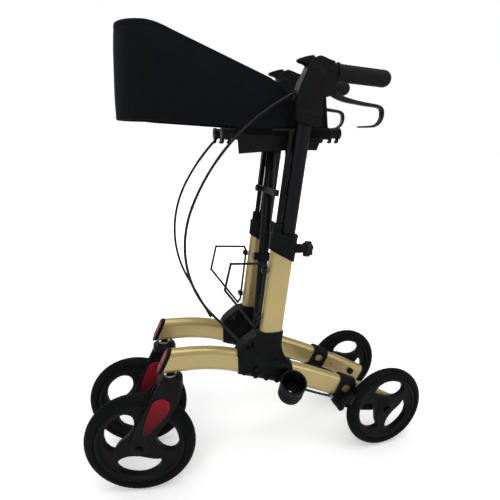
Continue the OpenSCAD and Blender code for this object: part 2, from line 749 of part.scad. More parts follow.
seat_x = 142; // rear edge of the panels
seat_len = 202;
seat_thick = 2.5;
fold_margin = 7; // panel edge to the fold line
rail_margin = 11; // panel edge to the rail axis
module seat_outer() color(black) translate([0, eye_y, rail_z]) difference() {
  union() {
    // sleeves round the rail, [x, length]
    for (sleeve = [[seat_x, 46], [268, 76]])
      translate([sleeve[0], 0, 0]) rotate([0, 90, 0])
        cylinder(r = rail_r + 2.2, h = sleeve[1]);
    rotate([180 - seat_angle, 0, 0]) translate([seat_x, rail_margin, -seat_thick / 2])
      cube([seat_len, panel - fold_margin - rail_margin, seat_thick]);
  }
  translate([100, 0, 0]) rotate([0, 90, 0]) cylinder(r = rail_r + 0.1, h = 300);
}
module seat_inner() color(black)
  translate([0, eye_y / 2, rail_z + panel * sin(seat_angle)]) rotate([180 + seat_angle, 0, 0])
    translate([seat_x, fold_margin, -seat_thick / 2])
      cube([seat_len, panel - 2 * fold_margin, seat_thick]);

// ---------- backrest ----------
corner_r = 48; // bend at the front end of each arm
back_angle = 2.14;
back_thick = 5;
back_z = 760;
back_h = 161;
seam = 0.03; // the arm's bend is this much thinner all round than the tip
corner_x = back_x + (back_y - corner_r * cos(back_angle)) / tan(back_angle)
  - corner_r * sin(back_angle);
back_len = norm([corner_x + corner_r * sin(back_angle) - back_x,
  corner_r * cos(back_angle) - back_y]);
// arm outline, [distance from the hinge, z]
back_line = concat(
  [[9, 748], [76, 748], [143, 752], [250, 758], [back_len, back_z]],
  curve([[back_len, back_z + back_h], [256, 921], [240, 917], [222, 909]], 6),
  [[222, 909], [44, 838], [20, 824], [9, 813]]);

module back_arm() color(black) {
  translate([back_x, back_y, 0]) rotate([0, 0, -back_angle]) difference() {
    union() {
      slab(back_thick) polygon(back_line);
      translate([0, 0, 768.2]) cylinder(r = 6, h = 35.6);
      translate([0, -back_thick / 2, 768.2]) cube([12, back_thick, 35.6]);
    }
    translate([0, 0, back_z]) cylinder(r = 3 + run_gap, h = 60);
  }
  translate([corner_x, 0, back_z]) rotate(45)
    rotate_extrude(angle = 45 - back_angle, $fn = 240)
      translate([corner_r - back_thick / 2 + seam, seam])
        square([back_thick - 2 * seam, back_h - 2 * seam]);
}
module back_tip() color(black)
  translate([corner_x, 0, back_z]) rotate(1.3) rotate_extrude(angle = 43.65, $fn = 240)
    translate([corner_r - back_thick / 2, 0]) square([back_thick, back_h]);

// ---------- folding cross ----------
module cross(y, angle, x) color(dark)
  leaning() translate([x, y, 0]) rotate([angle, 0, 0]) difference() {
    union() {
      translate([0, 0, 6]) cylinder(r = cross_r, h = cross_len - 12);
      for (z = [0, cross_len])
        translate([0, 0, z]) rotate([0, 90, 0])
          cylinder(r = 12, h = 2 * cross_r - 0.2, center = true);
      for (z = [22, cross_len - 30]) translate([0, 0, z]) cylinder(r = cross_r - 0.01, h = 8);
    }
    for (z = [0, cross_len / 2, cross_len])
      translate([0, 0, z]) rotate([0, 90, 0])
        cylinder(r = pin_r + run_gap, h = 60, center = true);
  }
module cross_tube_a() cross(eye_y, cross_angle, cross_offset);
module cross_tube_b() cross(-eye_y, -cross_angle, -cross_offset);
module pivot_bolt() color(black)
  leaning() translate([0, 0, cross_len / 2 * cos(cross_angle)]) rotate([0, 90, 0]) {
    translate([0, 0, -27]) cylinder(r = pin_r, h = 54);
    translate([0, 0, -1.9]) cylinder(r = 10, h = 3.8);
    translate([0, 0, 24.1]) {
      cylinder(r = 11, h = 2.5);
      cylinder(r = 8.5, h = 12);
    }
    translate([0, 0, -26.6]) cylinder(r = 10, h = 2.5);
    translate([0, 0, -33]) hex(8, 7);
  }

// ---------- cane cup ----------
module cup_axis() translate([249, 108, 192]) rotate([0, 90 - cup_tilt, 90]) children();
module cup_taper(extra = 0)
  cylinder(r1 = cup_r + 2 + extra, r2 = cup_r + 3.2 + extra, h = cup_depth + 5 + extra);
module cane_cup() color(dark) cup_axis() difference() {
  union() {
    cup_taper();
    translate([0, 0, cup_depth - 0.5]) cylinder(r = cup_r + 4.6, h = 5.5);
    // ribs round one side
    intersection() {
      for (z = [10, 20, 30]) translate([0, 0, z]) cylinder(r = cup_r + 3.6, h = 3);
      translate([-5, -40, -10]) cube([60, 80, 80]);
    }
  }
  translate([0, 0, 5]) cylinder(r = cup_r, h = 80);
  translate([0, 0, -2]) cylinder(r = 6, h = 20);
}

// ---------- nodes ----------
function shown(name) = node == "all" || node == name;
if (shown("left_lower_tube")) left() lower_tube();
if (shown("left_upright")) left() upright();
if (shown("left_hub")) left() hub(front = true, cup_seat = true);
if (shown("left_collar")) left() collar();
if (shown("left_tube_caps")) left() tube_caps();
if (shown("left_reflector")) left() reflector();
if (shown("left_wire_holder")) left() wire_holder();
if (shown("left_rear_bracket")) left() rear_bracket();
if (shown("left_hardware")) left() hardware();
if (shown("left_rear_rim")) left() rear_rim();
if (shown("left_rear_tyre")) left() rear_tyre();
if (shown("left_brake_arm")) left() brake_arm();
if (shown("left_fork")) left_caster() fork();
if (shown("left_fork_inserts")) left_caster() fork_inserts();
if (shown("left_caster_pins")) left_caster() caster_pins();
if (shown("left_front_rim")) left_caster() front_rim();
if (shown("left_front_tyre")) left_caster() front_tyre();
if (shown("left_handle_tube")) left() handle_tube();
if (shown("left_handle_body")) left() handle_body();
if (shown("left_grip")) left() grip();
if (shown("left_brake_lever")) left() brake_lever();
if (shown("left_cable")) left() cable(396, 41.3, 214, 62.3, tail = 91);
if (shown("left_knob")) left() knob();
if (shown("left_seat_rail")) left() seat_rail(front = false, plate = long_plate);
if (shown("left_seat_outer")) left() seat_outer();
if (shown("left_seat_inner")) left() seat_inner();
if (shown("left_back_arm")) left() back_arm();
if (shown("left_back_tip")) left() back_tip();
if (shown("right_lower_tube")) right() lower_tube();
if (shown("right_upright")) right() upright();
if (shown("right_hub")) right() hub(front = false, cup_seat = false);
if (shown("right_collar")) right() collar();
if (shown("right_tube_caps")) right() tube_caps();
if (shown("right_reflector")) right() reflector();
if (shown("right_wire_holder")) right() wire_holder();
if (shown("right_rear_bracket")) right() rear_bracket();
if (shown("right_hardware")) right() hardware();
if (shown("right_rear_rim")) right() rear_rim();
if (shown("right_rear_tyre")) right() rear_tyre();
if (shown("right_brake_arm")) right() brake_arm();
if (shown("right_fork")) right_caster() fork();
if (shown("right_fork_inserts")) right_caster() fork_inserts();
if (shown("right_caster_pins")) right_caster() caster_pins();
if (shown("right_front_rim")) right_caster() front_rim();
if (shown("right_front_tyre")) right_caster() front_tyre();
if (shown("right_handle_tube")) right() handle_tube();
if (shown("right_handle_body")) right() handle_body();
if (shown("right_grip")) right() grip();
if (shown("right_brake_lever")) right() brake_lever();
if (shown("right_cable")) right() cable(418, 34.5, 235, 55, tail = 121);
if (shown("right_knob")) right() knob();
if (shown("right_seat_rail")) {
  right() seat_rail(front = true, plate = short_plate);
  place() catch_bar();
}
if (shown("right_seat_outer")) right() seat_outer();
if (shown("right_seat_inner")) right() seat_inner();
if (shown("right_back_arm")) right() back_arm();
if (shown("right_back_tip")) right() back_tip();
if (shown("cross_tube_a")) place() cross_tube_a();
if (shown("cross_tube_b")) place() cross_tube_b();
if (shown("pivot_bolt")) place() pivot_bolt();
if (shown("cane_cup")) place() cane_cup();
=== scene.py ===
# A four-wheeled folding walker: frame, hand brakes, folding cloth seat and padded backrest
# band. It stands on z = 0 and faces +x, with its left side towards +y. Sizes and places are
# in the drawing's millimetres (rear axle at x = 0, centre plane at y = 0), unless metres
# are named; place() turns them into scene metres.
import math
import random
from itertools import accumulate
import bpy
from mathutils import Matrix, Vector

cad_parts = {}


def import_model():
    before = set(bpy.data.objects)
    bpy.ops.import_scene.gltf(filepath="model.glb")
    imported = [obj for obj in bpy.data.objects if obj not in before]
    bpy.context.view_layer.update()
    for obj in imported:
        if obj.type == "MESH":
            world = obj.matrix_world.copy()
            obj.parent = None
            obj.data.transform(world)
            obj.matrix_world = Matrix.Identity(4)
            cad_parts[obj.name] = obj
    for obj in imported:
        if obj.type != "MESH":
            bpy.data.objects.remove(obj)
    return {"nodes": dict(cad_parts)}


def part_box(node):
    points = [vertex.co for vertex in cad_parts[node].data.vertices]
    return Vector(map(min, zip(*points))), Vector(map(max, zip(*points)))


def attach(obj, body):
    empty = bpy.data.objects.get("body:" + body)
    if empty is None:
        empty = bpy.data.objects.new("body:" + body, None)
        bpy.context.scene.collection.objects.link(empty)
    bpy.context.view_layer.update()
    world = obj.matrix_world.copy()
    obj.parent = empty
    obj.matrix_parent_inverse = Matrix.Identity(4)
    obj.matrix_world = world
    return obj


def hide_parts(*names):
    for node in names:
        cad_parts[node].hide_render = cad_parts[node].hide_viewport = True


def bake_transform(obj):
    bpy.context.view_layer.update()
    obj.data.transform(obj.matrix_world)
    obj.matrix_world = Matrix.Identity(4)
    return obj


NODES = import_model()["nodes"]

import bmesh
import bpy
import numpy as np
from mathutils import Matrix, Vector, noise
from mathutils.bvhtree import BVHTree

random.seed(7)
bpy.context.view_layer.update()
SIDES = (("left", 1), ("right", -1))  # name, sign of y


def box_middle(node):
    low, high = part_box(node)
    return (Vector(low) + Vector(high)) / 2


LEFT_AXLE, RIGHT_AXLE = box_middle("left_rear_rim"), box_middle("right_rear_rim")
ORIGIN_X = LEFT_AXLE.x
ORIGIN_Y = (LEFT_AXLE.y + RIGHT_AXLE.y) / 2


def place(x, y, z):
    """Scene position of a point of the drawing."""
    return Vector((ORIGIN_X + x / 1000, ORIGIN_Y + y / 1000, z / 1000))


# ------------------------------------------------------------------ material building
def scaled(color, gain):
    return tuple(min(1.0, x * gain) for x in color)


def lifted(color, gain, lift):
    return tuple(x * gain + lift for x in color)


class Material:
    """A Principled material textured in object coordinates; its lengths are in metres."""

    def __init__(self, name):
        self.data = bpy.data.materials.new(name)
        self.data.use_nodes = True
        self.tree = self.data.node_tree
        self.tree.nodes.clear()
        output = self.node("OutputMaterial")
        self.shader = self.node("BsdfPrincipled")
        self.tree.links.new(self.shader.outputs[0], output.inputs[0])
        self.coords = self.node("TexCoord").outputs["Object"]

    def feed(self, socket, value):
        """Link a socket, or set a plain value."""
        if isinstance(value, bpy.types.NodeSocket):
            self.tree.links.new(value, socket)
        else:
            socket.default_value = value

    def node(self, kind, props=None, **inputs):
        node = self.tree.nodes.new("ShaderNode" + kind)
        for key, value in (props or {}).items():
            setattr(node, key, value)
        for key, value in inputs.items():
            self.feed(node.inputs[key.replace("_", " ")], value)
        return node

    def noise(self, scale, detail=3.0, rough=0.5, vector=None):
        return self.node("TexNoise", Vector=vector or self.coords, Scale=scale,
                         Detail=detail, Roughness=rough).outputs["Fac"]

    def cells(self, scale, feature="F1", output="Distance"):
        return self.node("TexVoronoi", {"feature": feature}, Vector=self.coords,
                         Scale=scale).outputs[output]

    def component(self, vector, axis):
        return self.node("SeparateXYZ", Vector=vector).outputs[axis]

    def remap(self, value, span, to=(0, 1)):
        """Carry span onto to, clamped at both ends."""
        node = self.node("MapRange", Value=value)
        for key, limit in zip(("From Min", "From Max", "To Min", "To Max"), (*span, *to)):
            node.inputs[key].default_value = limit
        return node.outputs[0]

    def patches(self, span, to=(0, 1), **texture):
        """Noise remapped from span to to."""
        return self.remap(self.noise(**texture), span, to)

    def op(self, kind, first, second=0.0):
        node = self.node("Math", {"operation": kind})
        self.feed(node.inputs[0], first)
        self.feed(node.inputs[1], second)
        return node.outputs[0]

    def vector_op(self, kind, *vectors):
        node = self.node("VectorMath", {"operation": kind})
        for socket, vector in zip(node.inputs, vectors):
            self.feed(socket, vector)
        return node.outputs["Value"]

    def mix(self, mask, first, second):
        node = self.node("Mix", {"data_type": "RGBA"})
        self.feed(node.inputs[0], mask)
        for index, color in ((6, first), (7, second)):
            plain = not isinstance(color, bpy.types.NodeSocket)
            self.feed(node.inputs[index], (*color, 1) if plain else color)
        return node.outputs[2]

    def shades(self, mask, base, start, end):
        """The base colour times start where the mask is 0, times end where it is 1."""
        return self.mix(mask, scaled(base, start), scaled(base, end))

    def bump(self, height, distance, strength, normal=None):
        node = self.node("Bump", Height=height, Distance=distance, Strength=strength)
        if normal is not None:
            self.feed(node.inputs["Normal"], normal)
        return node.outputs[0]

    def edges(self, radius):
        """A rounded normal, and a mask that is 1 on edges."""
        rounded = self.node("Bevel", {"samples": 4}, Radius=radius).outputs[0]
        flat = self.node("NewGeometry").outputs["Normal"]
        agreement = self.vector_op("DOT_PRODUCT", rounded, flat)
        return rounded, self.remap(agreement, span=(0.985, 0.80), to=(0.0, 1.0))

    def finish(self, **inputs):
        for key, value in inputs.items():
            self.feed(self.shader.inputs[key.replace("_", " ")], value)
        return self.data


# ------------------------------------------------------------------ kinds of material
def paint(name, base):
    """Metallic paint with fine flakes, brighter on its edges."""
    m = Material(name)
    normal, wear = m.edges(radius=0.0012)
    tone = m.shades(m.patches(scale=9, detail=4, span=(0.35, 0.65)), base, start=0.93, end=1.06)
    flake = m.component(m.cells(scale=2600, output="Color"), "X")
    tone = m.mix(m.remap(flake, span=(0, 1), to=(0.0, 0.22)), tone, scaled(base, gain=1.45))
    rubbed = m.op("MULTIPLY", wear, m.patches(scale=240, span=(0.35, 0.7), to=(0.0, 0.5)))
    tone = m.mix(rubbed, tone, scaled(base, gain=1.35))
    smudge = m.patches(scale=14, detail=6, rough=0.65, span=(0.3, 0.75), to=(0.24, 0.40))
    flake_height = 0.12
    relief = m.op("ADD", m.noise(scale=420, detail=2), m.op("MULTIPLY", flake, flake_height))
    return m.finish(
        Base_Color=tone, Metallic=0.62, Roughness=smudge, Coat_Weight=0.3, Coat_Roughness=0.12,
        Normal=m.bump(relief, distance=0.00004, strength=0.5, normal=normal))


def plastic(name, base, rough, grain, depth, specular, wear_gain=3.0, dust=0.018,
            radius=0.0014):
    """Grained plastic with scuffed edges and dust on upward faces."""
    m = Material(name)
    normal, wear = m.edges(radius)
    tone = m.shades(m.patches(scale=34, detail=5, span=(0.3, 0.7)), base, start=0.75, end=1.3)
    scratches = m.patches(scale=160, detail=5, rough=0.6, span=(0.38, 0.72), to=(0.05, 0.5))
    tone = m.mix(m.op("MULTIPLY", wear, scratches), tone,
                 lifted(base, gain=wear_gain, lift=0.004))
    upward = m.component(m.node("NewGeometry").outputs["Normal"], "Z")
    dusty = m.op("MULTIPLY", m.remap(upward, span=(0.2, 1.0), to=(0, dust)),
                 m.patches(scale=26, detail=6, rough=0.7, span=(0.4, 0.75)))
    dust_color = (0.16, 0.15, 0.14)
    tone = m.mix(dusty, tone, dust_color)
    roughness = m.patches(scale=70, detail=5, span=(0.3, 0.7), to=(rough - 0.07, rough + 0.10))
    # the noise is coarser than the grain and weaker
    noise_share, noise_height = 0.35, 0.6
    coarse = m.op("MULTIPLY", m.noise(scale=grain * noise_share, detail=3), noise_height)
    relief = m.op("ADD", m.cells(scale=grain), coarse)
    return m.finish(Base_Color=tone, Roughness=roughness, Specular_IOR_Level=specular,
                    Normal=m.bump(relief, distance=depth, strength=0.6, normal=normal))


def metal(name, base, rough, metallic, stretch, tilt=0.0, bare_span=None):
    """Streaked metal; stretch and tilt (about y) shape the streaks. With a bare_span it is
    bare only between those two heights and blackened elsewhere."""
    m = Material(name)
    normal, wear = m.edges(radius=0.001)
    mapped = m.node("Mapping", Vector=m.coords, Scale=stretch, Rotation=(0, tilt, 0)).outputs[0]
    streak = m.noise(scale=100, detail=4, rough=0.6, vector=mapped)
    tone = m.shades(m.remap(streak, span=(0.3, 0.7)), base, start=0.8, end=1.15)
    rubbed = m.op("MULTIPLY", wear, m.patches(scale=300, span=(0.3, 0.7), to=(0.1, 0.7)))
    tone = m.mix(rubbed, tone, lifted(base, gain=1.6, lift=0.05))
    if bare_span:
        low, high = bare_span
        height = m.component(m.coords, "Z")
        bare = m.op("MULTIPLY", m.op("GREATER_THAN", height, low),
                    m.op("LESS_THAN", height, high))
        black_dark, black_light = (0.009, 0.009, 0.010), (0.016, 0.016, 0.017)
        blackened = m.mix(m.remap(streak, span=(0.3, 0.7)), black_dark, black_light)
        tone = m.mix(bare, blackened, tone)
    return m.finish(
        Base_Color=tone, Metallic=metallic,
        Roughness=m.remap(streak, span=(0.3, 0.7), to=(rough - 0.06, rough + 0.08)),
        Normal=m.bump(streak, distance=0.00005, strength=0.5, normal=normal))


def red_lens(name, base, fade=None):
    """Red plastic with small cells; between the fade heights it goes from near black to red."""
    m = Material(name)
    normal, wear = m.edges(radius=0.001)
    cell = m.cells(scale=520)
    tone = m.shades(m.remap(cell, span=(0.0, 0.6)), base, start=1.4, end=0.55)
    edge_strength = 0.6
    tone = m.mix(m.op("MULTIPLY", wear, edge_strength), tone, scaled(base, gain=1.9))
    if fade:
        near_black = (0.010, 0.0025, 0.0035)
        tone = m.mix(m.remap(m.component(m.coords, "Z"), span=fade), near_black, tone)
    relief = m.op("ADD", cell, m.noise(scale=900))
    return m.finish(
        Base_Color=tone, Roughness=m.patches(scale=80, span=(0.3, 0.7), to=(0.22, 0.36)),
        Coat_Weight=0.03, Coat_Roughness=0.1, Specular_IOR_Level=0.08,
        Normal=m.bump(relief, distance=0.0003, strength=0.5, normal=normal))


def cloth(name, base, pitch, rough=0.88, sheen=0.05, across_rate=1.0, depth=0.00022):
    """Woven or knitted cloth; its threads follow the piece's own "suv" coordinates."""
    m = Material(name)
    suv = m.node("Attribute", {"attribute_name": "suv"}).outputs["Vector"]
    axes = m.node("SeparateXYZ", Vector=suv)
    u, v = axes.outputs["X"], axes.outputs["Y"]
    rate = 2 * math.pi / pitch
    wobble_size, weave_share, ridge_share, fuzz_share, lint_share = 0.6, 0.7, 0.3, 0.5, 0.35
    wobble = m.op("MULTIPLY", m.noise(scale=40, detail=2), wobble_size)
    wave_u = m.op("SINE", m.op("ADD", m.op("MULTIPLY", u, rate), wobble))
    wave_v = m.op("SINE", m.op("ADD", m.op("MULTIPLY", v, rate * across_rate), wobble))
    weave = m.op("MULTIPLY", wave_u, wave_v)
    ridge = m.op("ABSOLUTE", m.op("SINE", m.op("MULTIPLY", m.op("ADD", u, v), rate * 0.5)))
    thread = m.op("ADD", m.op("MULTIPLY", weave, weave_share),
                  m.op("MULTIPLY", ridge, ridge_share))
    tone = m.shades(m.remap(thread, span=(-0.7, 1.0)), base, start=0.55, end=1.35)
    tone = m.mix(m.patches(scale=12, detail=5, rough=0.6, span=(0.4, 0.7), to=(0, 0.35)),
                 tone, scaled(base, gain=1.7))
    lint = m.op("MULTIPLY", m.patches(scale=420, detail=2, span=(0.66, 0.72)), lint_share)
    tone = m.mix(lint, tone, lifted(base, gain=2.4, lift=0.006))
    fuzz = m.noise(scale=2200, detail=2)
    relief = m.op("ADD", thread, m.op("MULTIPLY", fuzz, fuzz_share))
    soft = m.bump(m.noise(scale=26, detail=4, rough=0.55), distance=0.0012, strength=0.22)
    return m.finish(
        Base_Color=tone,
        Roughness=m.patches(scale=60, span=(0.3, 0.7), to=(rough - 0.06, rough + 0.06)),
        Specular_IOR_Level=0.06, Sheen_Weight=sheen, Sheen_Roughness=0.5,
        Sheen_Tint=(0.55, 0.58, 0.66, 1),
        Normal=m.bump(relief, distance=depth, strength=0.8, normal=soft))


def rubber(name, base, rough, stipple, depth, specular):
    """Stippled rubber with a little dust in patches."""
    m = Material(name)
    dots = m.cells(scale=stipple, feature="SMOOTH_F1")
    blotch = m.noise(scale=60, detail=6, rough=0.6)
    tone = m.shades(m.remap(blotch, span=(0.35, 0.7)), base, start=0.75, end=1.5)
    dust_color = (0.09, 0.085, 0.08)
    tone = m.mix(m.patches(scale=9, detail=5, rough=0.7, span=(0.5, 0.8), to=(0, 0.03)),
                 tone, dust_color)
    fine_height = 0.4
    relief = m.op("ADD", dots, m.op("MULTIPLY", m.noise(scale=1500), fine_height))
    return m.finish(
        Base_Color=tone, Specular_IOR_Level=specular,
        Roughness=m.remap(blotch, span=(0.3, 0.7), to=(rough - 0.06, rough + 0.12)),
        Normal=m.bump(relief, distance=depth, strength=0.6))


def pale_floor(name):
    """A pale sheet that, seen by the camera, brightens with distance and hides the horizon."""
    m = Material(name)
    blotch = m.noise(scale=3, detail=5)
    far = m.remap(m.vector_op("LENGTH", m.coords), span=(0.55, 2.0))
    camera_ray = m.node("LightPath").outputs["Is Camera Ray"]
    near_glow, far_glow = 0.25, 0.9
    glow = m.op("ADD", m.op("MULTIPLY", far, far_glow), near_glow)
    darker, lighter = (0.86, 0.86, 0.86), (0.90, 0.90, 0.90)
    return m.finish(
        Base_Color=m.mix(blotch, darker, lighter),
        Roughness=m.remap(blotch, span=(0.3, 0.7), to=(0.85, 0.95)),
        Specular_IOR_Level=0.1, Emission_Color=(1, 1, 1, 1),
        Emission_Strength=m.op("MULTIPLY", camera_ray, glow))


MATERIALS = {
    "paint": paint("champagne_paint", (0.42, 0.325, 0.135)),
    "hard": plastic("moulded_nylon", (0.0030, 0.0034, 0.0038),
                    rough=0.46, grain=1300, depth=0.00012, specular=0.08),
    "body": plastic("handle_moulding", (0.0034, 0.0037, 0.0042),
                    rough=0.50, grain=1700, depth=0.0001, specular=0.10),
    "fork": plastic("fork_nylon", (0.0030, 0.0032, 0.0038),
                    rough=0.42, grain=1100, depth=0.00014, specular=0.10),
    "rim": plastic("rim_nylon", (0.0026, 0.0030, 0.0032),
                   rough=0.44, grain=1000, depth=0.00016, specular=0.09, dust=0.012),
    "knob": plastic("knob_plastic", (0.0045, 0.0045, 0.005),
                    rough=0.38, grain=2000, depth=0.00008, specular=0.2),
    "lever": plastic("lever_plastic", (0.005, 0.005, 0.006),
                     rough=0.34, grain=2200, depth=0.00006, specular=0.2),
    "wire": plastic("coated_wire", (0.004, 0.004, 0.004),
                    rough=0.35, grain=2600, depth=0.00005, specular=0.2, radius=0.0006),
    "powder": plastic("powder_coat", (0.0034, 0.0036, 0.0042),
                      rough=0.36, grain=2400, depth=0.00008, specular=0.12, wear_gain=4),
    "anod": metal("black_anodised", (0.011, 0.0115, 0.013),
                  rough=0.34, metallic=0.85, stretch=(9, 9, 0.14), tilt=math.radians(8)),
    "steel": metal("zinc_steel", (0.42, 0.42, 0.41),
                   rough=0.30, metallic=1.0, stretch=(3, 3, 3), bare_span=(0.115, 0.2)),
    "stem_steel": metal("caster_steel", (0.42, 0.42, 0.41),
                        rough=0.30, metallic=1.0, stretch=(3, 3, 3), bare_span=(0.2, 0.5)),
    "dark_steel": metal("blackened_steel", (0.016, 0.016, 0.017),
                        rough=0.32, metallic=0.9, stretch=(3, 3, 3)),
    "red": red_lens("red_insert", (0.25, 0.008, 0.020), fade=(0.138, 0.222)),
    "lens": red_lens("red_reflector", (0.20, 0.006, 0.016)),
    "tyre": rubber("tyre_foam", (0.0022, 0.0027, 0.0026),
                   rough=0.58, stipple=1200, depth=0.00018, specular=0.06),
    "grip": rubber("grip_rubber", (0.0052, 0.0052, 0.0060),
                   rough=0.62, stipple=1400, depth=0.0002, specular=0.13),
    "jacket": plastic("cable_jacket", (0.004, 0.004, 0.0045),
                      rough=0.36, grain=1800, depth=0.00006, specular=0.2, radius=0.0004),
    "band": cloth("knit_band", (0.0036, 0.0040, 0.0053), pitch=0.0018, across_rate=0.62),
    # a spare finish that no piece wears
    "hem": cloth("band_binding", (0.0040, 0.0042, 0.0050), pitch=0.0014, sheen=0.03,
                 depth=0.0003),
    "thread": cloth("sewing_thread", (0.008, 0.0083, 0.0095), pitch=0.0009, sheen=0.08,
                    depth=0.0002),
    "seat": cloth("seat_nylon", (0.0050, 0.0052, 0.0060), pitch=0.0016, rough=0.78,
                  sheen=0.03, depth=0.0003),
    "floor": pale_floor("pale_floor"),
}

# ------------------------------------------------------------------ finishes of the CAD pieces
# parts that come in pairs, without their side; whatever isn't listed is "hard"
PAIR_FINISH = {
    "lower_tube": "paint", "upright": "paint", "reflector": "lens", "wire_holder": "wire",
    "hardware": "steel", "rear_rim": "rim", "rear_tyre": "tyre", "brake_arm": "powder",
    "fork": "fork", "fork_inserts": "red", "caster_pins": "stem_steel", "front_rim": "rim",
    "front_tyre": "tyre", "handle_tube": "anod", "handle_body": "body", "grip": "grip",
    "brake_lever": "lever", "cable": "jacket", "knob": "knob", "seat_rail": "powder",
    "seat_outer": "seat", "seat_inner": "seat", "back_arm": "band", "back_tip": "band",
}
SINGLE_FINISH = {"cross_tube_a": "powder", "cross_tube_b": "powder", "pivot_bolt": "dark_steel"}

for node_name, piece in NODES.items():
    part = node_name.split("_", 1)[1]
    finish = MATERIALS[PAIR_FINISH.get(part, SINGLE_FINISH.get(node_name, "hard"))]
    if not piece.material_slots:
        piece.data.materials.append(finish)
    for material_slot in piece.material_slots:
        material_slot.material = finish


def add_modifier(obj, name, kind, **values):
    modifier = obj.modifiers.new(name, kind)
    for key, value in values.items():
        setattr(modifier, key, value)
    return modifier


def soften(node, voxel, iterations):
    """Round the edges of a moulded part: a fine remesh of the solid, then relaxed."""
    obj = NODES[node]
    add_modifier(obj, "weld", "WELD", merge_threshold=1e-5)
    add_modifier(obj, "remesh", "REMESH", mode="VOXEL", use_smooth_shade=True,
                 voxel_size=voxel / 1000 * 1.0)
    add_modifier(obj, "relax", "SMOOTH", iterations=iterations, factor=0.5)


# part: voxel size, relaxing passes
SOFTENED = {
    "handle_body": (1.1, 9), "hub": (1.5, 5), "collar": (1.3, 5), "rear_bracket": (1.3, 4),
    "fork": (1.2, 7), "fork_inserts": (0.9, 6), "knob": (0.8, 5), "brake_arm": (1.0, 4),
    "grip": (1.1, 14), "front_rim": (1.5, 4), "rear_rim": (1.4, 4),
}
for side, _ in SIDES:
    for part, (voxel, iterations) in SOFTENED.items():
        soften(f"{side}_{part}", voxel, iterations)
soften("cane_cup", voxel=1.0, iterations=4)

# the coating gives wires a little body over their drawn size (metres)
for side, _ in SIDES:
    for part in ("cable", "wire_holder"):
        add_modifier(NODES[f"{side}_{part}"], "coat", "DISPLACE", strength=0.0004, mid_level=0.0)


# ------------------------------------------------------------------ shape helpers
def clamp(value):
    return max(0.0, min(1.0, value))


def quarter_round(share):
    """Rises from 0 to 1 along a quarter circle."""
    return math.sqrt(max(0.0, 1 - (1 - clamp(share)) ** 2))


def peak(value, centre, half_width):
    """A straight-sided peak, 1 high."""
    return max(0.0, 1 - abs(value - centre) / half_width)


def bell(value, centre, width):
    return math.exp(-((value - centre) / width) ** 2)


def boxed(value, power):
    """Bends a sine or cosine so that a circle becomes a rounded rectangle."""
    return math.copysign(abs(value) ** power, value)


def lookup(table, at):
    """Straight-line reading of a table of (place, value)."""
    for (start, first), (end, second) in zip(table, table[1:]):
        if at <= end:
            return first + (second - first) * clamp((at - start) / (end - start))
    return table[-1][1]


def stations(start, stop, pitch):
    while start < stop:
        yield start
        start += pitch


def curve(start, *legs):
    """Points along joined Bezier legs; a leg is (handle, handle, end, steps)."""
    points = []
    for handle_a, handle_b, end, steps in legs:
        for i in range(steps):
            t = i / steps
            s = 1 - t
            points.append(tuple(
                s ** 3 * start[k] + 3 * s * s * t * handle_a[k]
                + 3 * s * t * t * handle_b[k] + t ** 3 * end[k] for k in (0, 1)))
        start = end
    return points + [start]


def lengths_along(path):
    return list(accumulate(map(math.dist, path, path[1:]), initial=0.0))


def tangent(path, i):
    before, after = path[max(i - 1, 0)], path[min(i + 1, len(path) - 1)]
    return Vector((after[0] - before[0], after[1] - before[1])).normalized()


def turned_profile(edge, middle=(), length=0):
    """Lathe profile: an edge of (radius, across), a middle, and the edge mirrored."""
    return [*edge, *middle, *((r, length - across) for r, across in reversed(edge))]


# ------------------------------------------------------------------ mesh helpers
def mesh_object(name, verts, faces, material, smooth=True):
    mesh = bpy.data.meshes.new(name)
    mesh.from_pydata([tuple(v) for v in verts], [], faces)
    mesh.update()
    mesh.materials.append(material)
    if smooth:
        shade_smooth(mesh)
    obj = bpy.data.objects.new(name, mesh)
    bpy.context.scene.collection.objects.link(obj)
    return obj


def shade_smooth(mesh):
    mesh.polygons.foreach_set("use_smooth", [True] * len(mesh.polygons))


def solid_object(name, verts, faces, material):
    """A mesh object with doubles merged and normals facing out."""
    obj = mesh_object(name, verts, faces, material)
    bm = bmesh.new()
    bm.from_mesh(obj.data)
    bmesh.ops.remove_doubles(bm, verts=bm.verts, dist=1e-6)
    bmesh.ops.recalc_face_normals(bm, faces=bm.faces)
    bm.to_mesh(obj.data)
    bm.free()
    obj.data.update()
    return obj


def ring_faces(rings, size, closed=False):
    """Quads between rings of size points each; closed joins the last ring to the first."""
    faces = []
    for i in range(rings if closed else rings - 1):
        here, there = i * size, (i + 1) % rings * size
        for k in range(size):
            after = (k + 1) % size
            faces.append((here + k, here + after, there + after, there + k))
    return faces


def tube_faces(rings, size, flip_caps=False, base=0):
    """A tube of rings with a cap on both ends, its points numbered from base."""
    start, end = tuple(range(size)), tuple(range((rings - 1) * size, rings * size))
    if flip_caps:
        start = start[::-1]
    else:
        end = end[::-1]
    faces = ring_faces(rings, size) + [start, end]
    return [tuple(base + k for k in face) for face in faces]


def write_suv(obj, coordinates_of):
    """Store cloth coordinates, in metres, for the thread pattern."""
    mesh = obj.data
    values = np.zeros((len(mesh.vertices), 3), np.float32)
    for i, vertex in enumerate(mesh.vertices):
        values[i] = coordinates_of(vertex.co)
    attribute = mesh.attributes.new("suv", "FLOAT_VECTOR", "POINT")
    attribute.data.foreach_set("vector", values.ravel())


def subdivide(obj):
    add_modifier(obj, "sub", "SUBSURF", levels=1, render_levels=1)
    depsgraph = bpy.context.evaluated_depsgraph_get()
    mesh = bpy.data.meshes.new_from_object(obj.evaluated_get(depsgraph))
    old = obj.data
    obj.modifiers.clear()
    obj.data = mesh
    bpy.data.meshes.remove(old)
    shade_smooth(mesh)


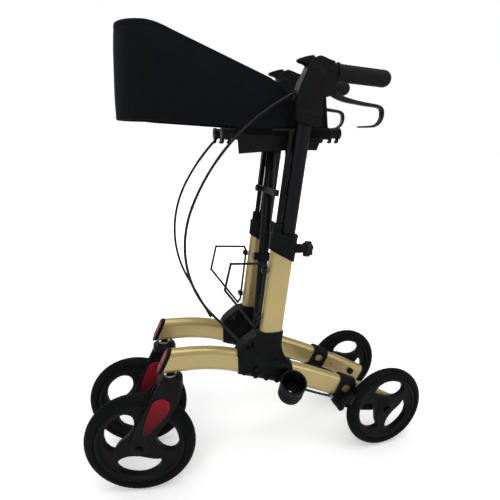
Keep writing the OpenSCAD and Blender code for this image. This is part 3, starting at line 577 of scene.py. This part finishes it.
def lathe(name, profile, material, centre, axis, segments, wave=None):
    """Turn a closed profile of (radius, across) about an axis; wave adds to the radius."""
    axis = Vector(axis).normalized()
    reference = Vector((0, 0, 1)) if abs(axis.z) < 0.9 else Vector((1, 0, 0))
    side_a = axis.cross(reference).normalized()
    side_b = axis.cross(side_a)
    verts = []
    for i in range(segments):
        angle = 2 * math.pi * i / segments
        outward = side_a * math.cos(angle) + side_b * math.sin(angle)
        for j, (radius, across) in enumerate(profile):
            full = radius + (wave(i, j, radius, across) if wave else 0)
            verts.append(centre + outward * full / 1000 + axis * across / 1000)
    faces = ring_faces(segments, len(profile), closed=True)
    return solid_object(name, verts, faces, material)


def sweep(name, path, size_at, material, sign, y, sides):
    """A bar along a path of (x, z); size_at(share) gives (width in that plane, thickness)."""
    end_round, end_least = 2.5, 0.25
    lengths = lengths_along(path)
    total = lengths[-1]
    verts = []
    for i, point in enumerate(path):
        along = tangent(path, i)
        width, thickness = size_at(lengths[i] / total)
        to_end = min(lengths[i] / end_round, (total - lengths[i]) / end_round)
        taper = max(end_least, quarter_round(to_end))
        for k in range(sides):
            angle = 2 * math.pi * k / sides
            u = 0.5 * width * taper * boxed(math.cos(angle), 0.6)
            v = 0.5 * thickness * taper * boxed(math.sin(angle), 0.6)
            verts.append(place(point[0] - along.y * u, sign * (y + v), point[1] + along.x * u))
    return solid_object(name, verts, tube_faces(len(path), sides, flip_caps=True), material)


def add_stitch(verts, faces, centre, along, normal, section, length, radius):
    """One stitch; its section lists (place along it, width, lift) as shares."""
    sides = 6
    base = len(verts)
    across = along.cross(normal).normalized()
    for reach, width, lift in section:
        for k in range(sides):
            angle = 2 * math.pi * k / sides
            offset = across * math.cos(angle) * width
            offset += normal * (math.sin(angle) * width + lift * 0.5)
            verts.append(centre + along * (reach * length / 1000) + offset * radius / 1000)
    faces += tube_faces(len(section), sides, flip_caps=True, base=base)


# ------------------------------------------------------------------ tyres
TYRES = {
    "rear": {"radius": 100.0, "width": 26.0, "blocks": 60},
    "front": {"radius": 114.0, "width": 28.0, "blocks": 68},
}
SWIVEL = {"left": math.radians(-12), "right": math.radians(-14)}  # of the front wheels
BORE_SHARE = 0.815               # bore radius over tyre radius
BORE_GAP, BORE_LIP = 0.3, 0.05   # section's end and bore face, outside that radius
BORE_WIDTH_SHARE = 0.8
TYRE_STEPS = 40
# angles are round the tyre's section, in radians from the crown
GROOVE_ANGLES, GROOVE_HALF_ANGLE, GROOVE_DEPTH = (-0.62, -0.21, 0.21, 0.62), 0.075, 0.9
BEAD_ANGLES, BEAD_DEPTH = (1.18, 1.30), 0.45
BLOCK_STEPS = 4                  # segments per tread block
SIPE_ANGLES, SIPE_DEPTH = (0.66, 1.12), 0.8
CROWN_ANGLE, CROWN_DEPTH = 0.18, 0.35


def build_tyre(side, end):
    radius, width, blocks = (TYRES[end][key] for key in ("radius", "width", "blocks"))
    half_width = width / 2
    core = radius - half_width
    bore = BORE_SHARE * radius
    half = math.acos((bore + BORE_GAP - core) / half_width)

    def section_angle(j):
        return -half + 2 * half * j / TYRE_STEPS

    profile = []
    for j in range(TYRE_STEPS + 1):
        angle = section_angle(j)
        cut = max(GROOVE_DEPTH * peak(angle, at, GROOVE_HALF_ANGLE) for at in GROOVE_ANGLES)
        if BEAD_ANGLES[0] < abs(angle) < BEAD_ANGLES[1]:
            cut = max(cut, BEAD_DEPTH)
        profile.append((core + half_width * math.cos(angle) - cut * math.cos(angle),
                        half_width * math.sin(angle) * (1 - cut / width)))
    bore_half = half_width * math.sin(half) * BORE_WIDTH_SHARE
    profile += [(bore + BORE_LIP, bore_half), (bore + BORE_LIP, -bore_half)]

    def tread(i, j, _radius, _across):
        """Cuts across the tread, staggered by half a block between the two halves."""
        if j > TYRE_STEPS:
            return 0
        angle = abs(section_angle(j))
        stagger = BLOCK_STEPS // 2 if j > TYRE_STEPS / 2 else 0
        if (i + stagger) % BLOCK_STEPS:
            return 0
        if SIPE_ANGLES[0] < angle < SIPE_ANGLES[1]:
            return -SIPE_DEPTH
        return -CROWN_DEPTH if angle < CROWN_ANGLE else 0

    swivel = SWIVEL[side] if end == "front" else 0.0
    tyre = lathe(f"{side}_{end}_tread", profile, MATERIALS["tyre"],
                 centre=box_middle(f"{side}_{end}_tyre"),
                 axis=(-math.sin(swivel), math.cos(swivel), 0),
                 segments=blocks * BLOCK_STEPS, wave=tread)
    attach(tyre, f"{side}_{end}_wheel")
    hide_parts(f"{side}_{end}_tyre")


for side, _ in SIDES:
    for end in ("rear", "front"):
        build_tyre(side, end)

# ------------------------------------------------------------------ backrest band
# from its hinge the band runs straight, slanting inwards, then bends round to the centre plane
HINGE_X, HINGE_Y = 232.0, 58.0
BEND_R = 48.0
SLANT = math.radians(2.14)
BEND_X = (HINGE_X + (HINGE_Y - BEND_R * math.cos(SLANT)) / math.tan(SLANT)
          - BEND_R * math.sin(SLANT))
STRAIGHT = math.hypot(BEND_X + BEND_R * math.sin(SLANT) - HINGE_X,
                      BEND_R * math.cos(SLANT) - HINGE_Y)
ARC = BEND_R * (math.pi / 2 - SLANT)
BAND_END = STRAIGHT + ARC
BAND_START = 13.0
BAND_MID_Z = 838
NOSE_TOP, NOSE_BOTTOM = 921, 760
# edges of the band: (distance from the hinge, z)
BAND_TOP = [
    (9, 813), (20, 824), (44, 838),
    *curve((222, 909), ((240, 917), (256, 921), (STRAIGHT, NOSE_TOP), 10)),
    (BAND_END + 5, NOSE_TOP),
]
BAND_BOTTOM = [
    (9, 748), (76, 748), (143, 752), (250, 758),
    (STRAIGHT, NOSE_BOTTOM), (BAND_END + 5, NOSE_BOTTOM),
]
BAND_HALF_THICK = 5.2
BAND_STEPS = 104    # even stations between the close ones at both ends
HEM = 11.0
# distances from an edge at which the section is sampled, and steps between the two sets
HEM_SAMPLES = [0, 0.35, 0.9, 1.7, 2.7, 3.8, 5.2, 7, 9.2, 10.1, 11, 11.9, 12.8, 15, 18.5]
FIELD_STEPS = 14
BAND_STITCH = {
    "section": [(-0.5, 0.15, -0.2), (-0.34, 0.8, 0.55), (0, 1.0, 0.9),
                (0.34, 0.8, 0.55), (0.5, 0.15, -0.2)],
    "length": 2.7, "radius": 0.42,
}
KNUCKLE_Z = 786


def band_point(s, offset, z, sign):
    """s from the hinge along the band, offset outwards from its middle surface."""
    if s <= STRAIGHT:
        x = HINGE_X + s * math.cos(SLANT) + offset * math.sin(SLANT)
        y = HINGE_Y - s * math.sin(SLANT) + offset * math.cos(SLANT)
    else:
        angle = math.pi / 2 - SLANT - (s - STRAIGHT) / BEND_R
        x = BEND_X + (BEND_R + offset) * math.cos(angle)
        y = (BEND_R + offset) * math.sin(angle)
    return place(x, sign * y, z)


def band_coordinates(co, sign):
    """(s, z, 0) of a scene position, in metres."""
    x, y = (co.x - ORIGIN_X) * 1000, sign * (co.y - ORIGIN_Y) * 1000
    angle = math.atan2(y, x - BEND_X)
    if x > BEND_X and angle < math.pi / 2 - SLANT:
        s = STRAIGHT + (math.pi / 2 - SLANT - angle) * BEND_R
    else:
        s = (x - HINGE_X) * math.cos(SLANT) - (y - HINGE_Y) * math.sin(SLANT)
    return s / 1000, co.z, 0.0


def band_reading(co, sign):
    """s, z, and the z of the bottom and top edges there, in millimetres."""
    s, z, _ = band_coordinates(co, sign)
    s *= 1000
    return s, z * 1000, lookup(BAND_BOTTOM, s), lookup(BAND_TOP, s)


def band_section(half_thick, height):
    """(share of height, half thickness): rolled hems with a padded field between them."""
    edge_round, hem_share, pad_rise = 3.4, 0.72, 34.0
    seam_half_width, seam_depth = 1.6, 0.7
    inner = HEM_SAMPLES[-1]
    heights = [
        *HEM_SAMPLES,
        *(inner + (height - 2 * inner) * i / FIELD_STEPS for i in range(1, FIELD_STEPS)),
        *(height - w for w in reversed(HEM_SAMPLES)),
    ]
    section = []
    for w in heights:
        d = min(w, height - w)
        padding = hem_share + (1 - hem_share) * clamp((d - HEM) / pad_rise) ** 0.7
        thick = half_thick * padding * quarter_round(d / edge_round)
        thick -= seam_depth * peak(d, HEM, seam_half_width)
        section.append((w / height, thick))
    return section


def vertex_positions(mesh):
    values = np.zeros(len(mesh.vertices) * 3)
    mesh.vertices.foreach_get("co", values)
    return values.reshape(-1, 3)


def inflate(obj, reach, pressure, pin):
    """Blow the cloth up a little against its seams; no point moves more than reach metres."""
    first_frame, last_frame = 1, 20
    mesh = obj.data
    rest = vertex_positions(mesh)
    group = obj.vertex_groups.new(name="pin")
    for i, vertex in enumerate(mesh.vertices):
        weight = pin(vertex.co)
        if weight > 0:
            group.add([i], weight, "REPLACE")
    modifier = obj.modifiers.new("cloth", "CLOTH")
    settings = modifier.settings
    settings.quality = 5
    settings.mass = 0.3
    settings.tension_stiffness = 12
    settings.compression_stiffness = 12
    settings.shear_stiffness = 6
    settings.bending_stiffness = 0.4
    settings.use_pressure = True
    settings.uniform_pressure_force = pressure
    settings.vertex_group_mass = "pin"
    settings.effector_weights.gravity = 0
    modifier.collision_settings.use_collision = False
    modifier.point_cache.frame_start = first_frame
    modifier.point_cache.frame_end = last_frame
    scene = bpy.context.scene
    scene.frame_start, scene.frame_end = first_frame, last_frame
    for frame in range(first_frame, last_frame + 1):
        scene.frame_set(frame)
    evaluated = obj.evaluated_get(bpy.context.evaluated_depsgraph_get())
    moved = vertex_positions(evaluated.to_mesh()) - rest
    evaluated.to_mesh_clear()
    distance = np.linalg.norm(moved, axis=1)
    share = np.minimum(1.0, reach / np.maximum(distance, 1e-9))
    moved = np.where(np.isfinite(moved), moved, 0) * share[:, None]
    obj.modifiers.clear()
    obj.vertex_groups.clear()
    mesh.vertices.foreach_set("co", (rest + moved).astype(np.float32).ravel())
    mesh.update()
    scene.frame_set(first_frame)


def add_folds(mesh, sign):
    """Folds that gather towards the hinge, and a soft unevenness all along."""
    fold_height, fold_rate, fold_reach = 0.9, 21, 55.0
    drift, sway, sway_rate = 0.012, 1.3, 0.03      # how the folds wander along the band
    soft_height, soft_rate_s, soft_rate_z = 0.55, 0.012, 2.2
    nose_gap, nose_fade = 12, 40                   # the softness dies out before the nose
    edge_gap, edge_fade = 6, 20                    # and everything before the edges
    for vertex in mesh.vertices:
        s, z, bottom, top = band_reading(vertex.co, sign)
        height = top - bottom
        q = (z - bottom) / height
        gather = math.exp(-max(0.0, s - BAND_START) / fold_reach)
        phase = q * fold_rate + s * drift + sway * math.sin(s * sway_rate)
        fold = math.sin(phase) * gather * fold_height
        spot = Vector((s * soft_rate_s, q * soft_rate_z, 3.0 * sign))
        soft = noise.noise(spot) * soft_height * clamp((BAND_END - nose_gap - s) / nose_fade)
        inside = clamp((min(q, 1 - q) * height - edge_gap) / edge_fade)
        outward = band_point(s, 1.0, 0, sign) - band_point(s, 0.0, 0, sign)
        vertex.co += outward.normalized() * (fold + soft) * inside / 1000
    mesh.update()


def lean_nose(mesh, sign):
    """Lean the nose of the band backwards at its top."""
    slope, lead, spread = 0.058, 60, 50
    for vertex in mesh.vertices:
        s, z, _ = band_coordinates(vertex.co, sign)
        w = clamp((s * 1000 - STRAIGHT + lead) / (ARC + spread))
        vertex.co.x -= slope * (z - BAND_MID_Z / 1000) * w * w * (3 - 2 * w)
    mesh.update()


def build_band_cover(side, sign):
    even_start, even_stop = BAND_START + 3, BAND_END - 2.2
    along = [
        BAND_START, BAND_START + 0.4, BAND_START + 1.2,
        *(even_start + (even_stop - even_start) * i / BAND_STEPS for i in range(BAND_STEPS)),
        BAND_END - 1.0, BAND_END - 0.3, BAND_END - 0.05,
    ]
    start_share, thicken_reach = 0.55, 90.0
    verts = []
    for s in along:
        bottom, top = lookup(BAND_BOTTOM, s), lookup(BAND_TOP, s)
        growth = min(1.0, start_share + (s - BAND_START) / thicken_reach)
        section = band_section(BAND_HALF_THICK * growth, top - bottom)
        ring = section + [(q, -thick) for q, thick in section[-2:0:-1]]
        verts += [band_point(s, thick, bottom + q * (top - bottom), sign) for q, thick in ring]
    cover = solid_object(f"{side}_band_cover", verts, tube_faces(len(along), len(ring)),
                         MATERIALS["band"])

    def pin(co):
        """Held at both ends and along the hems, loosely beside the hems."""
        s, z, bottom, top = band_reading(co, sign)
        d = min(z - bottom, top - z)
        if s < BAND_START + 12 or s > BAND_END - 7 or d < 9:
            return 1.0
        return 0.35 if d < 14 else 0.0

    inflate(cover, reach=0.0022, pressure=3.0, pin=pin)
    add_folds(cover.data, sign)
    subdivide(cover)
    write_suv(cover, lambda co: band_coordinates(co, sign))
    lean_nose(cover.data, sign)
    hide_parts(f"{side}_back_arm", f"{side}_back_tip")
    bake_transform(cover)
    return cover


def build_band_stitching(side, sign, cover):
    """A row of stitches inside each hem, on the outer and the inner face."""
    surface = BVHTree.FromObject(cover, bpy.context.evaluated_depsgraph_get())
    verts, faces = [], []
    for edge, inset in ((BAND_TOP, -HEM), (BAND_BOTTOM, HEM)):
        for face in (1, -1):
            for s in stations(26.0, BAND_END - 3, pitch=4.2):
                z, next_z = lookup(edge, s) + inset, lookup(edge, s + 2) + inset
                outside = band_point(s, face * 20, z, sign)
                outward = (outside - band_point(s, 0, z, sign)).normalized()
                hit = surface.ray_cast(outside, -outward)[0]
                if hit is not None:
                    along = (band_point(s + 2, face * 3, next_z, sign)
                             - band_point(s, face * 3, z, sign))
                    add_stitch(verts, faces, hit, along.normalized(), outward, **BAND_STITCH)
    stitching = mesh_object(f"{side}_band_stitching", verts, faces, MATERIALS["thread"])
    write_suv(stitching, lambda co: band_coordinates(co, sign))
    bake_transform(stitching)


def build_knuckle(side, sign):
    """The grooved hinge knuckle that the cover is sewn round."""
    radius, groove_radius, pitch, groove_half = 6.0, 5.6, 4.4, 0.9
    grooves = []
    for k in range(-3, 4):
        middle = k * pitch
        grooves += [(radius, middle - groove_half), (groove_radius, middle),
                    (radius, middle + groove_half)]
    knuckle = lathe(f"{side}_band_knuckle",
                    turned_profile([(3.1, -17.2), (5.2, -17.2), (radius, -16.4)], grooves),
                    MATERIALS["hard"], place(HINGE_X, sign * HINGE_Y, KNUCKLE_Z),
                    axis=(0, 0, 1), segments=48)
    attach(knuckle, f"{side}_band_arm")


def build_clamp(side, sign):
    """The rounded clamp plate beside the knuckle."""
    middle_s, half_length, corner_power, sides = 11.5, 8.5, 0.35, 24
    levels = ((-17.5, 2.1), (-16, 2.9), (16, 2.9), (17.5, 2.1))  # z from knuckle, half thickness
    verts = []
    for rise, half_thick in levels:
        for k in range(sides):
            angle = 2 * math.pi * k / sides
            s = middle_s + half_length * boxed(math.cos(angle), corner_power)
            offset = half_thick * boxed(math.sin(angle), corner_power)
            verts.append(band_point(s, offset, KNUCKLE_Z + rise, sign))
    plate = solid_object(f"{side}_band_clamp", verts, tube_faces(len(levels), sides),
                         MATERIALS["hard"])
    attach(plate, f"{side}_band_arm")


for side, sign in SIDES:
    cover = build_band_cover(side, sign)
    build_band_stitching(side, sign, cover)
    build_knuckle(side, sign)
    build_clamp(side, sign)

# ------------------------------------------------------------------ brake levers and cable ends
LEVER_Y = 80.0
CABLE_Y = 81.0
CABLE_THICK = 4.5
LEVER_PIVOT = (164, 815)
# (x, z) from the pivot back along the lever, round its rear bend and forward below
LEVER_PATH = curve(
    LEVER_PIVOT,
    ((152, 808), (142, 803), (126, 800), 14),
    ((106, 796), (84, 793.5), (64, 791.5), 16),
    ((51, 790), (46.4, 787), (46, 777), 16),
    ((45.6, 763), (54, 752.5), (70, 751.5), 18),
    ((82, 750.8), (92, 750.6), (101, 750.5), 8),
)
# (share of the path, width in the side plane, thickness across it)
LEVER_SIZES = [
    (0.0, 12.0, 13.8), (0.14, 10.5, 13.8), (0.3, 8.0, 14.4), (0.5, 6.6, 15.0),
    (0.62, 5.4, 15.0), (0.8, 4.6, 14.0), (0.92, 3.8, 12.0), (1.0, 3.2, 10.5),
]
# half of the pivot eye's profile: (radius, y from its middle)
LEVER_EYE = [(3.2, -6.6), (7.4, -6.6), (8.0, -6.0), (8.0, -2.2), (7.6, -1.8)]
CABLE_PATH = curve((128, 139.1), ((140, 145.2), (152, 150.4), (165, 156.6), 12))  # (x, z)


def lever_size(share):
    return [lookup([(row[0], row[k]) for row in LEVER_SIZES], share) for k in (1, 2)]


def build_lever(side, sign):
    loop = sweep(f"{side}_lever_loop", LEVER_PATH, lever_size, MATERIALS["lever"],
                 sign, y=LEVER_Y, sides=24)
    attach(loop, f"{side}_lever")
    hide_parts(f"{side}_brake_lever")
    pivot_x, pivot_z = LEVER_PIVOT
    eye = lathe(f"{side}_lever_eye", turned_profile(LEVER_EYE), MATERIALS["lever"],
                place(pivot_x, sign * LEVER_Y, pivot_z), axis=(0, 1, 0), segments=56)
    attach(eye, f"{side}_lever")


def build_cable_end(side, sign):
    """The brake cable where it enters its adjuster under the tube."""
    cable = sweep(f"{side}_cable_end", CABLE_PATH, lambda share: (CABLE_THICK, CABLE_THICK),
                  MATERIALS["jacket"], sign, y=CABLE_Y, sides=16)
    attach(cable, f"{side}_frame")


for side, sign in SIDES:
    build_lever(side, sign)
    build_cable_end(side, sign)

# ------------------------------------------------------------------ seat cloth
# each half rises from its rail to a crease and drops to the centre plane
RAIL_Y, RAIL_Z = 36.0, 738.0
PANEL = 92.0
SEAT_ANGLE = math.acos(RAIL_Y / 2 / PANEL)
CREASE_Y = RAIL_Y / 2
CREASE = Vector((CREASE_Y, RAIL_Z + PANEL * math.sin(SEAT_ANGLE)))
SEAT_REAR, SEAT_FRONT = 142.0, 344.0
SEAT_STEPS = 64
SLEEVES = (("rear", SEAT_REAR, 188), ("front", 268, SEAT_FRONT))  # name, x from, x to
SLEEVE_EDGE = [(10.2, 0.0), (11.4, 0.0), (12.3, 0.7), (12.5, 2.2), (11.9, 3.4)]  # (radius, x)
SEAT_STITCH = {
    "section": [(-0.5, 0.2, -0.2), (-0.3, 0.8, 0.5), (0, 1, 0.8),
                (0.3, 0.8, 0.5), (0.5, 0.2, -0.2)],
    "length": 2.8, "radius": 0.4,
}


def seat_path():
    """Middle line of the folded cloth as (y, z), from the rail to the centre plane."""
    panel_steps, crease_steps = 30, 12
    rail_gap, centre_gap = 10.5, 1.4
    crease_radius, crease_drop = 2.6, 2.2
    rise = Vector((-math.cos(SEAT_ANGLE), math.sin(SEAT_ANGLE)))
    fall = Vector((-math.cos(SEAT_ANGLE), -math.sin(SEAT_ANGLE)))
    cut = crease_radius / math.tan((math.pi - 2 * SEAT_ANGLE) / 2)

    def panel(origin, direction, start, end):
        last = panel_steps - 1
        return [origin + direction * (start + (end - start) * i / last)
                for i in range(panel_steps)]

    rising = panel(Vector((RAIL_Y, RAIL_Z)), rise, rail_gap, PANEL - cut)
    falling = panel(CREASE, fall, cut, PANEL - centre_gap)
    control = CREASE - Vector((0, crease_drop))
    crease = []
    for i in range(1, crease_steps):
        t = i / crease_steps
        crease.append(rising[-1] * (1 - t) ** 2 + control * 2 * t * (1 - t)
                      + falling[0] * t * t)
    return rising + crease + falling


SEAT_PATH = seat_path()
SEAT_LENGTHS = lengths_along(SEAT_PATH)
SEAT_LENGTH = SEAT_LENGTHS[-1]


def seat_directions(j):
    """Unit vectors along the path and square to it."""
    along = tangent(SEAT_PATH, j)
    return along, Vector((along.y, -along.x))


def seat_ring(x, share, sign):
    """Points round the cloth at one x, out along one face and back along the other."""
    to_edge = min(x - SEAT_REAR, SEAT_FRONT - x)
    # half thickness: the plain cloth, a swelling in the hem and a dip along its seam
    thick = 1.15 + 0.75 * bell(to_edge, 4.5, 4.2) - 0.45 * bell(to_edge, 10.5, 1.1)
    thick *= max(quarter_round(to_edge / 1.5), 0.12)
    wave_height, wave_rate_x, wave_rate_path, wave_fade = 0.7, 0.02, 0.03, 20
    end_height, end_width = 0.5, 3.5
    near, far = [], []
    for j, (point, d) in enumerate(zip(SEAT_PATH, SEAT_LENGTHS)):
        normal = seat_directions(j)[1]
        left = SEAT_LENGTH - d
        swell = end_height * bell(left, 4, end_width) + end_height * bell(d, 5, end_width)
        wave = wave_height * noise.noise(Vector((x * wave_rate_x, d * wave_rate_path, 5 * sign)))
        wave *= math.sin(math.pi * share) * clamp(d / wave_fade) * clamp(left / wave_fade)
        near.append(point + normal * (wave + thick + swell))
        far.append(point + normal * (wave - thick - swell))
    return [place(x, sign * p.x, p.y) for p in near + far[::-1]]


def blend_seat(obj, side, sign):
    """Bake the piece's transform into its mesh; the points half a blend either side of the
    crease are worked out but not used.
    """
    half_blend = 1.6
    start, end = (
        tuple(place((SEAT_REAR + SEAT_FRONT) / 2, sign * (CREASE_Y + shift), 800))
        for shift in (half_blend, -half_blend))
    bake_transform(obj)
    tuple(start)
    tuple(end)


def build_seat_cloth(side, sign):
    verts = []
    for i in range(SEAT_STEPS + 1):
        share = i / SEAT_STEPS
        verts += seat_ring(SEAT_REAR + (SEAT_FRONT - SEAT_REAR) * share, share, sign)
    count = len(SEAT_PATH)
    size = 2 * count
    faces = ring_faces(SEAT_STEPS + 1, size)
    for base, step in ((0, 1), (SEAT_STEPS * size, -1)):
        for j in range(count - 1):
            quad = (base + j, base + j + 1, base + size - 2 - j, base + size - 1 - j)
            faces.append(quad[::step])
    seat = solid_object(f"{side}_seat_cloth", verts, faces, MATERIALS["seat"])
    write_suv(seat, lambda co: (co.x, co.z + sign * co.y, 0.0))
    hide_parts(f"{side}_seat_outer", f"{side}_seat_inner")
    blend_seat(seat, side, sign)


def build_seat_stitching(side, sign):
    """A stitch row inside the rear and front hems, on both faces, left out at the crease."""
    inset, lift, crease_gap = 10.4, 1.25, 9
    last = len(SEAT_PATH) - 1
    verts, faces = [], []
    for x in (SEAT_REAR + inset, SEAT_FRONT - inset):
        for face in (1, -1):
            for d in stations(6.0, SEAT_LENGTH - 5, pitch=4.4):
                if abs(d - SEAT_LENGTH / 2) <= crease_gap:
                    continue
                j = min(range(last + 1), key=lambda k: abs(SEAT_LENGTHS[k] - d))
                along, normal = seat_directions(j)
                normal = normal * face
                beyond = d - SEAT_LENGTHS[j] if j < last else 0
                point = SEAT_PATH[j] + along * beyond + normal * lift
                add_stitch(verts, faces, place(x, sign * point.x, point.y),
                           Vector((0, sign * along.x, along.y)),
                           Vector((0, sign * normal.x, normal.y)), **SEAT_STITCH)
    stitching = mesh_object(f"{side}_seat_stitching", verts, faces, MATERIALS["thread"])
    write_suv(stitching, lambda co: (co.x, co.z, 0.0))
    blend_seat(stitching, side, sign)


def build_sleeve(side, sign, name, start, end):
    """A sleeve sewn round the rail, slightly rippled."""
    length = end - start
    radius, ripple, ripple_rate = 11.95, 0.25, 0.55
    middle = [(radius + ripple * math.sin(x * ripple_rate), x)
              for x in stations(5.0, length - 5, pitch=1.6)]

    def wobble(i, _j, at_radius, across):
        height, turn_rate, along_rate, bore_limit = 0.22, 0.7, 0.13, 11.5
        if at_radius <= bore_limit:
            return 0
        return height * math.sin(i * turn_rate + across * along_rate)

    def unrolled(co):
        wrap_radius = 0.012
        angle = math.atan2(co.z - RAIL_Z / 1000, co.y - ORIGIN_Y - sign * RAIL_Y / 1000)
        return co.x, angle * wrap_radius, 0.0

    sleeve = lathe(f"{side}_seat_sleeve_{name}", turned_profile(SLEEVE_EDGE, middle, length),
                   MATERIALS["seat"], place(start, sign * RAIL_Y, RAIL_Z),
                   axis=(1, 0, 0), segments=64, wave=wobble)
    write_suv(sleeve, unrolled)
    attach(sleeve, f"{side}_seat_a")


for side, sign in SIDES:
    build_seat_cloth(side, sign)
    build_seat_stitching(side, sign)
    for name, start, end in SLEEVES:
        build_sleeve(side, sign, name, start, end)

# ------------------------------------------------------------------ stage, world, lights, camera
FLOOR_HALF, FLOOR_Z = 14, -0.0006  # metres
# name, place, aim, size (all metres), power in watts
LIGHTS = (
    ("key", (1.6, 2.6, 2.6), (0, 0, 0.45), (1.8, 1.8), 44),
    ("fill", (-2.6, 2.0, 1.7), (0, 0, 0.4), (1.6, 2.2), 18),
    ("top", (0.0, 0.3, 3.2), (0, 0, 0.3), (2.6, 2.6), 42),
    ("rim", (0.8, -2.6, 2.0), (0, 0, 0.5), (1.6, 1.6), 15),
)


def build_floor():
    corners = ((-1, -1), (1, -1), (1, 1), (-1, 1))
    floor = mesh_object("floor", [(FLOOR_HALF * x, FLOOR_HALF * y, FLOOR_Z) for x, y in corners],
                        [(0, 1, 2, 3)], MATERIALS["floor"], smooth=False)


def build_world():
    """White all round: dimmer as light than as the backdrop the camera sees."""
    light_strength, backdrop_strength = 0.50, 1.0
    world = bpy.data.worlds.new("studio")
    bpy.context.scene.world = world
    world.use_nodes = True
    nodes, links = world.node_tree.nodes, world.node_tree.links
    nodes.clear()
    output = nodes.new("ShaderNodeOutputWorld")
    light_path = nodes.new("ShaderNodeLightPath")
    backgrounds = [nodes.new("ShaderNodeBackground") for _ in range(2)]
    mix = nodes.new("ShaderNodeMixShader")
    links.new(light_path.outputs["Is Camera Ray"], mix.inputs[0])
    strengths = (light_strength, backdrop_strength)
    for i, (background, strength) in enumerate(zip(backgrounds, strengths), 1):
        background.inputs["Color"].default_value = (1, 1, 1, 1)
        background.inputs["Strength"].default_value = strength
        links.new(background.outputs[0], mix.inputs[i])
    links.new(mix.outputs[0], output.inputs[0])


def build_light(name, location, aim, size, power):
    light = bpy.data.lights.new(name, "AREA")
    light.shape = "RECTANGLE"
    light.size, light.size_y = size
    light.energy = power
    obj = bpy.data.objects.new(name, light)
    bpy.context.scene.collection.objects.link(obj)
    obj.location = location
    obj.rotation_euler = (Vector(aim) - Vector(location)).to_track_quat("-Z", "Y").to_euler()
    obj.visible_camera = False


def build_camera():
    """Looks at the walker from its front left."""
    scene = bpy.context.scene
    data = bpy.data.cameras.new("camera")
    camera = bpy.data.objects.new("camera", data)
    scene.collection.objects.link(camera)
    right = (-0.947945748, 0.318431255, -0.000628052)
    up = (-0.080526546, -0.237812280, 0.967967352)
    backward = (0.308081700, 0.917631111, 0.251075309)
    turn = Matrix((right, up, backward)).transposed()
    position = place(537.2366, 809.4439, 724.4086)
    camera.matrix_world = Matrix.Translation(position) @ turn.to_4x4()
    data.sensor_width = 36.0
    data.lens = 28.709064
    data.shift_x, data.shift_y = -0.0326756, -0.012056
    data.clip_start, data.clip_end = 0.05, 60
    scene.camera = camera
    scene.view_settings.view_transform = "Standard"
    scene.view_settings.look = "None"


build_floor()
build_world()
for light in LIGHTS:
    build_light(*light)
build_camera()
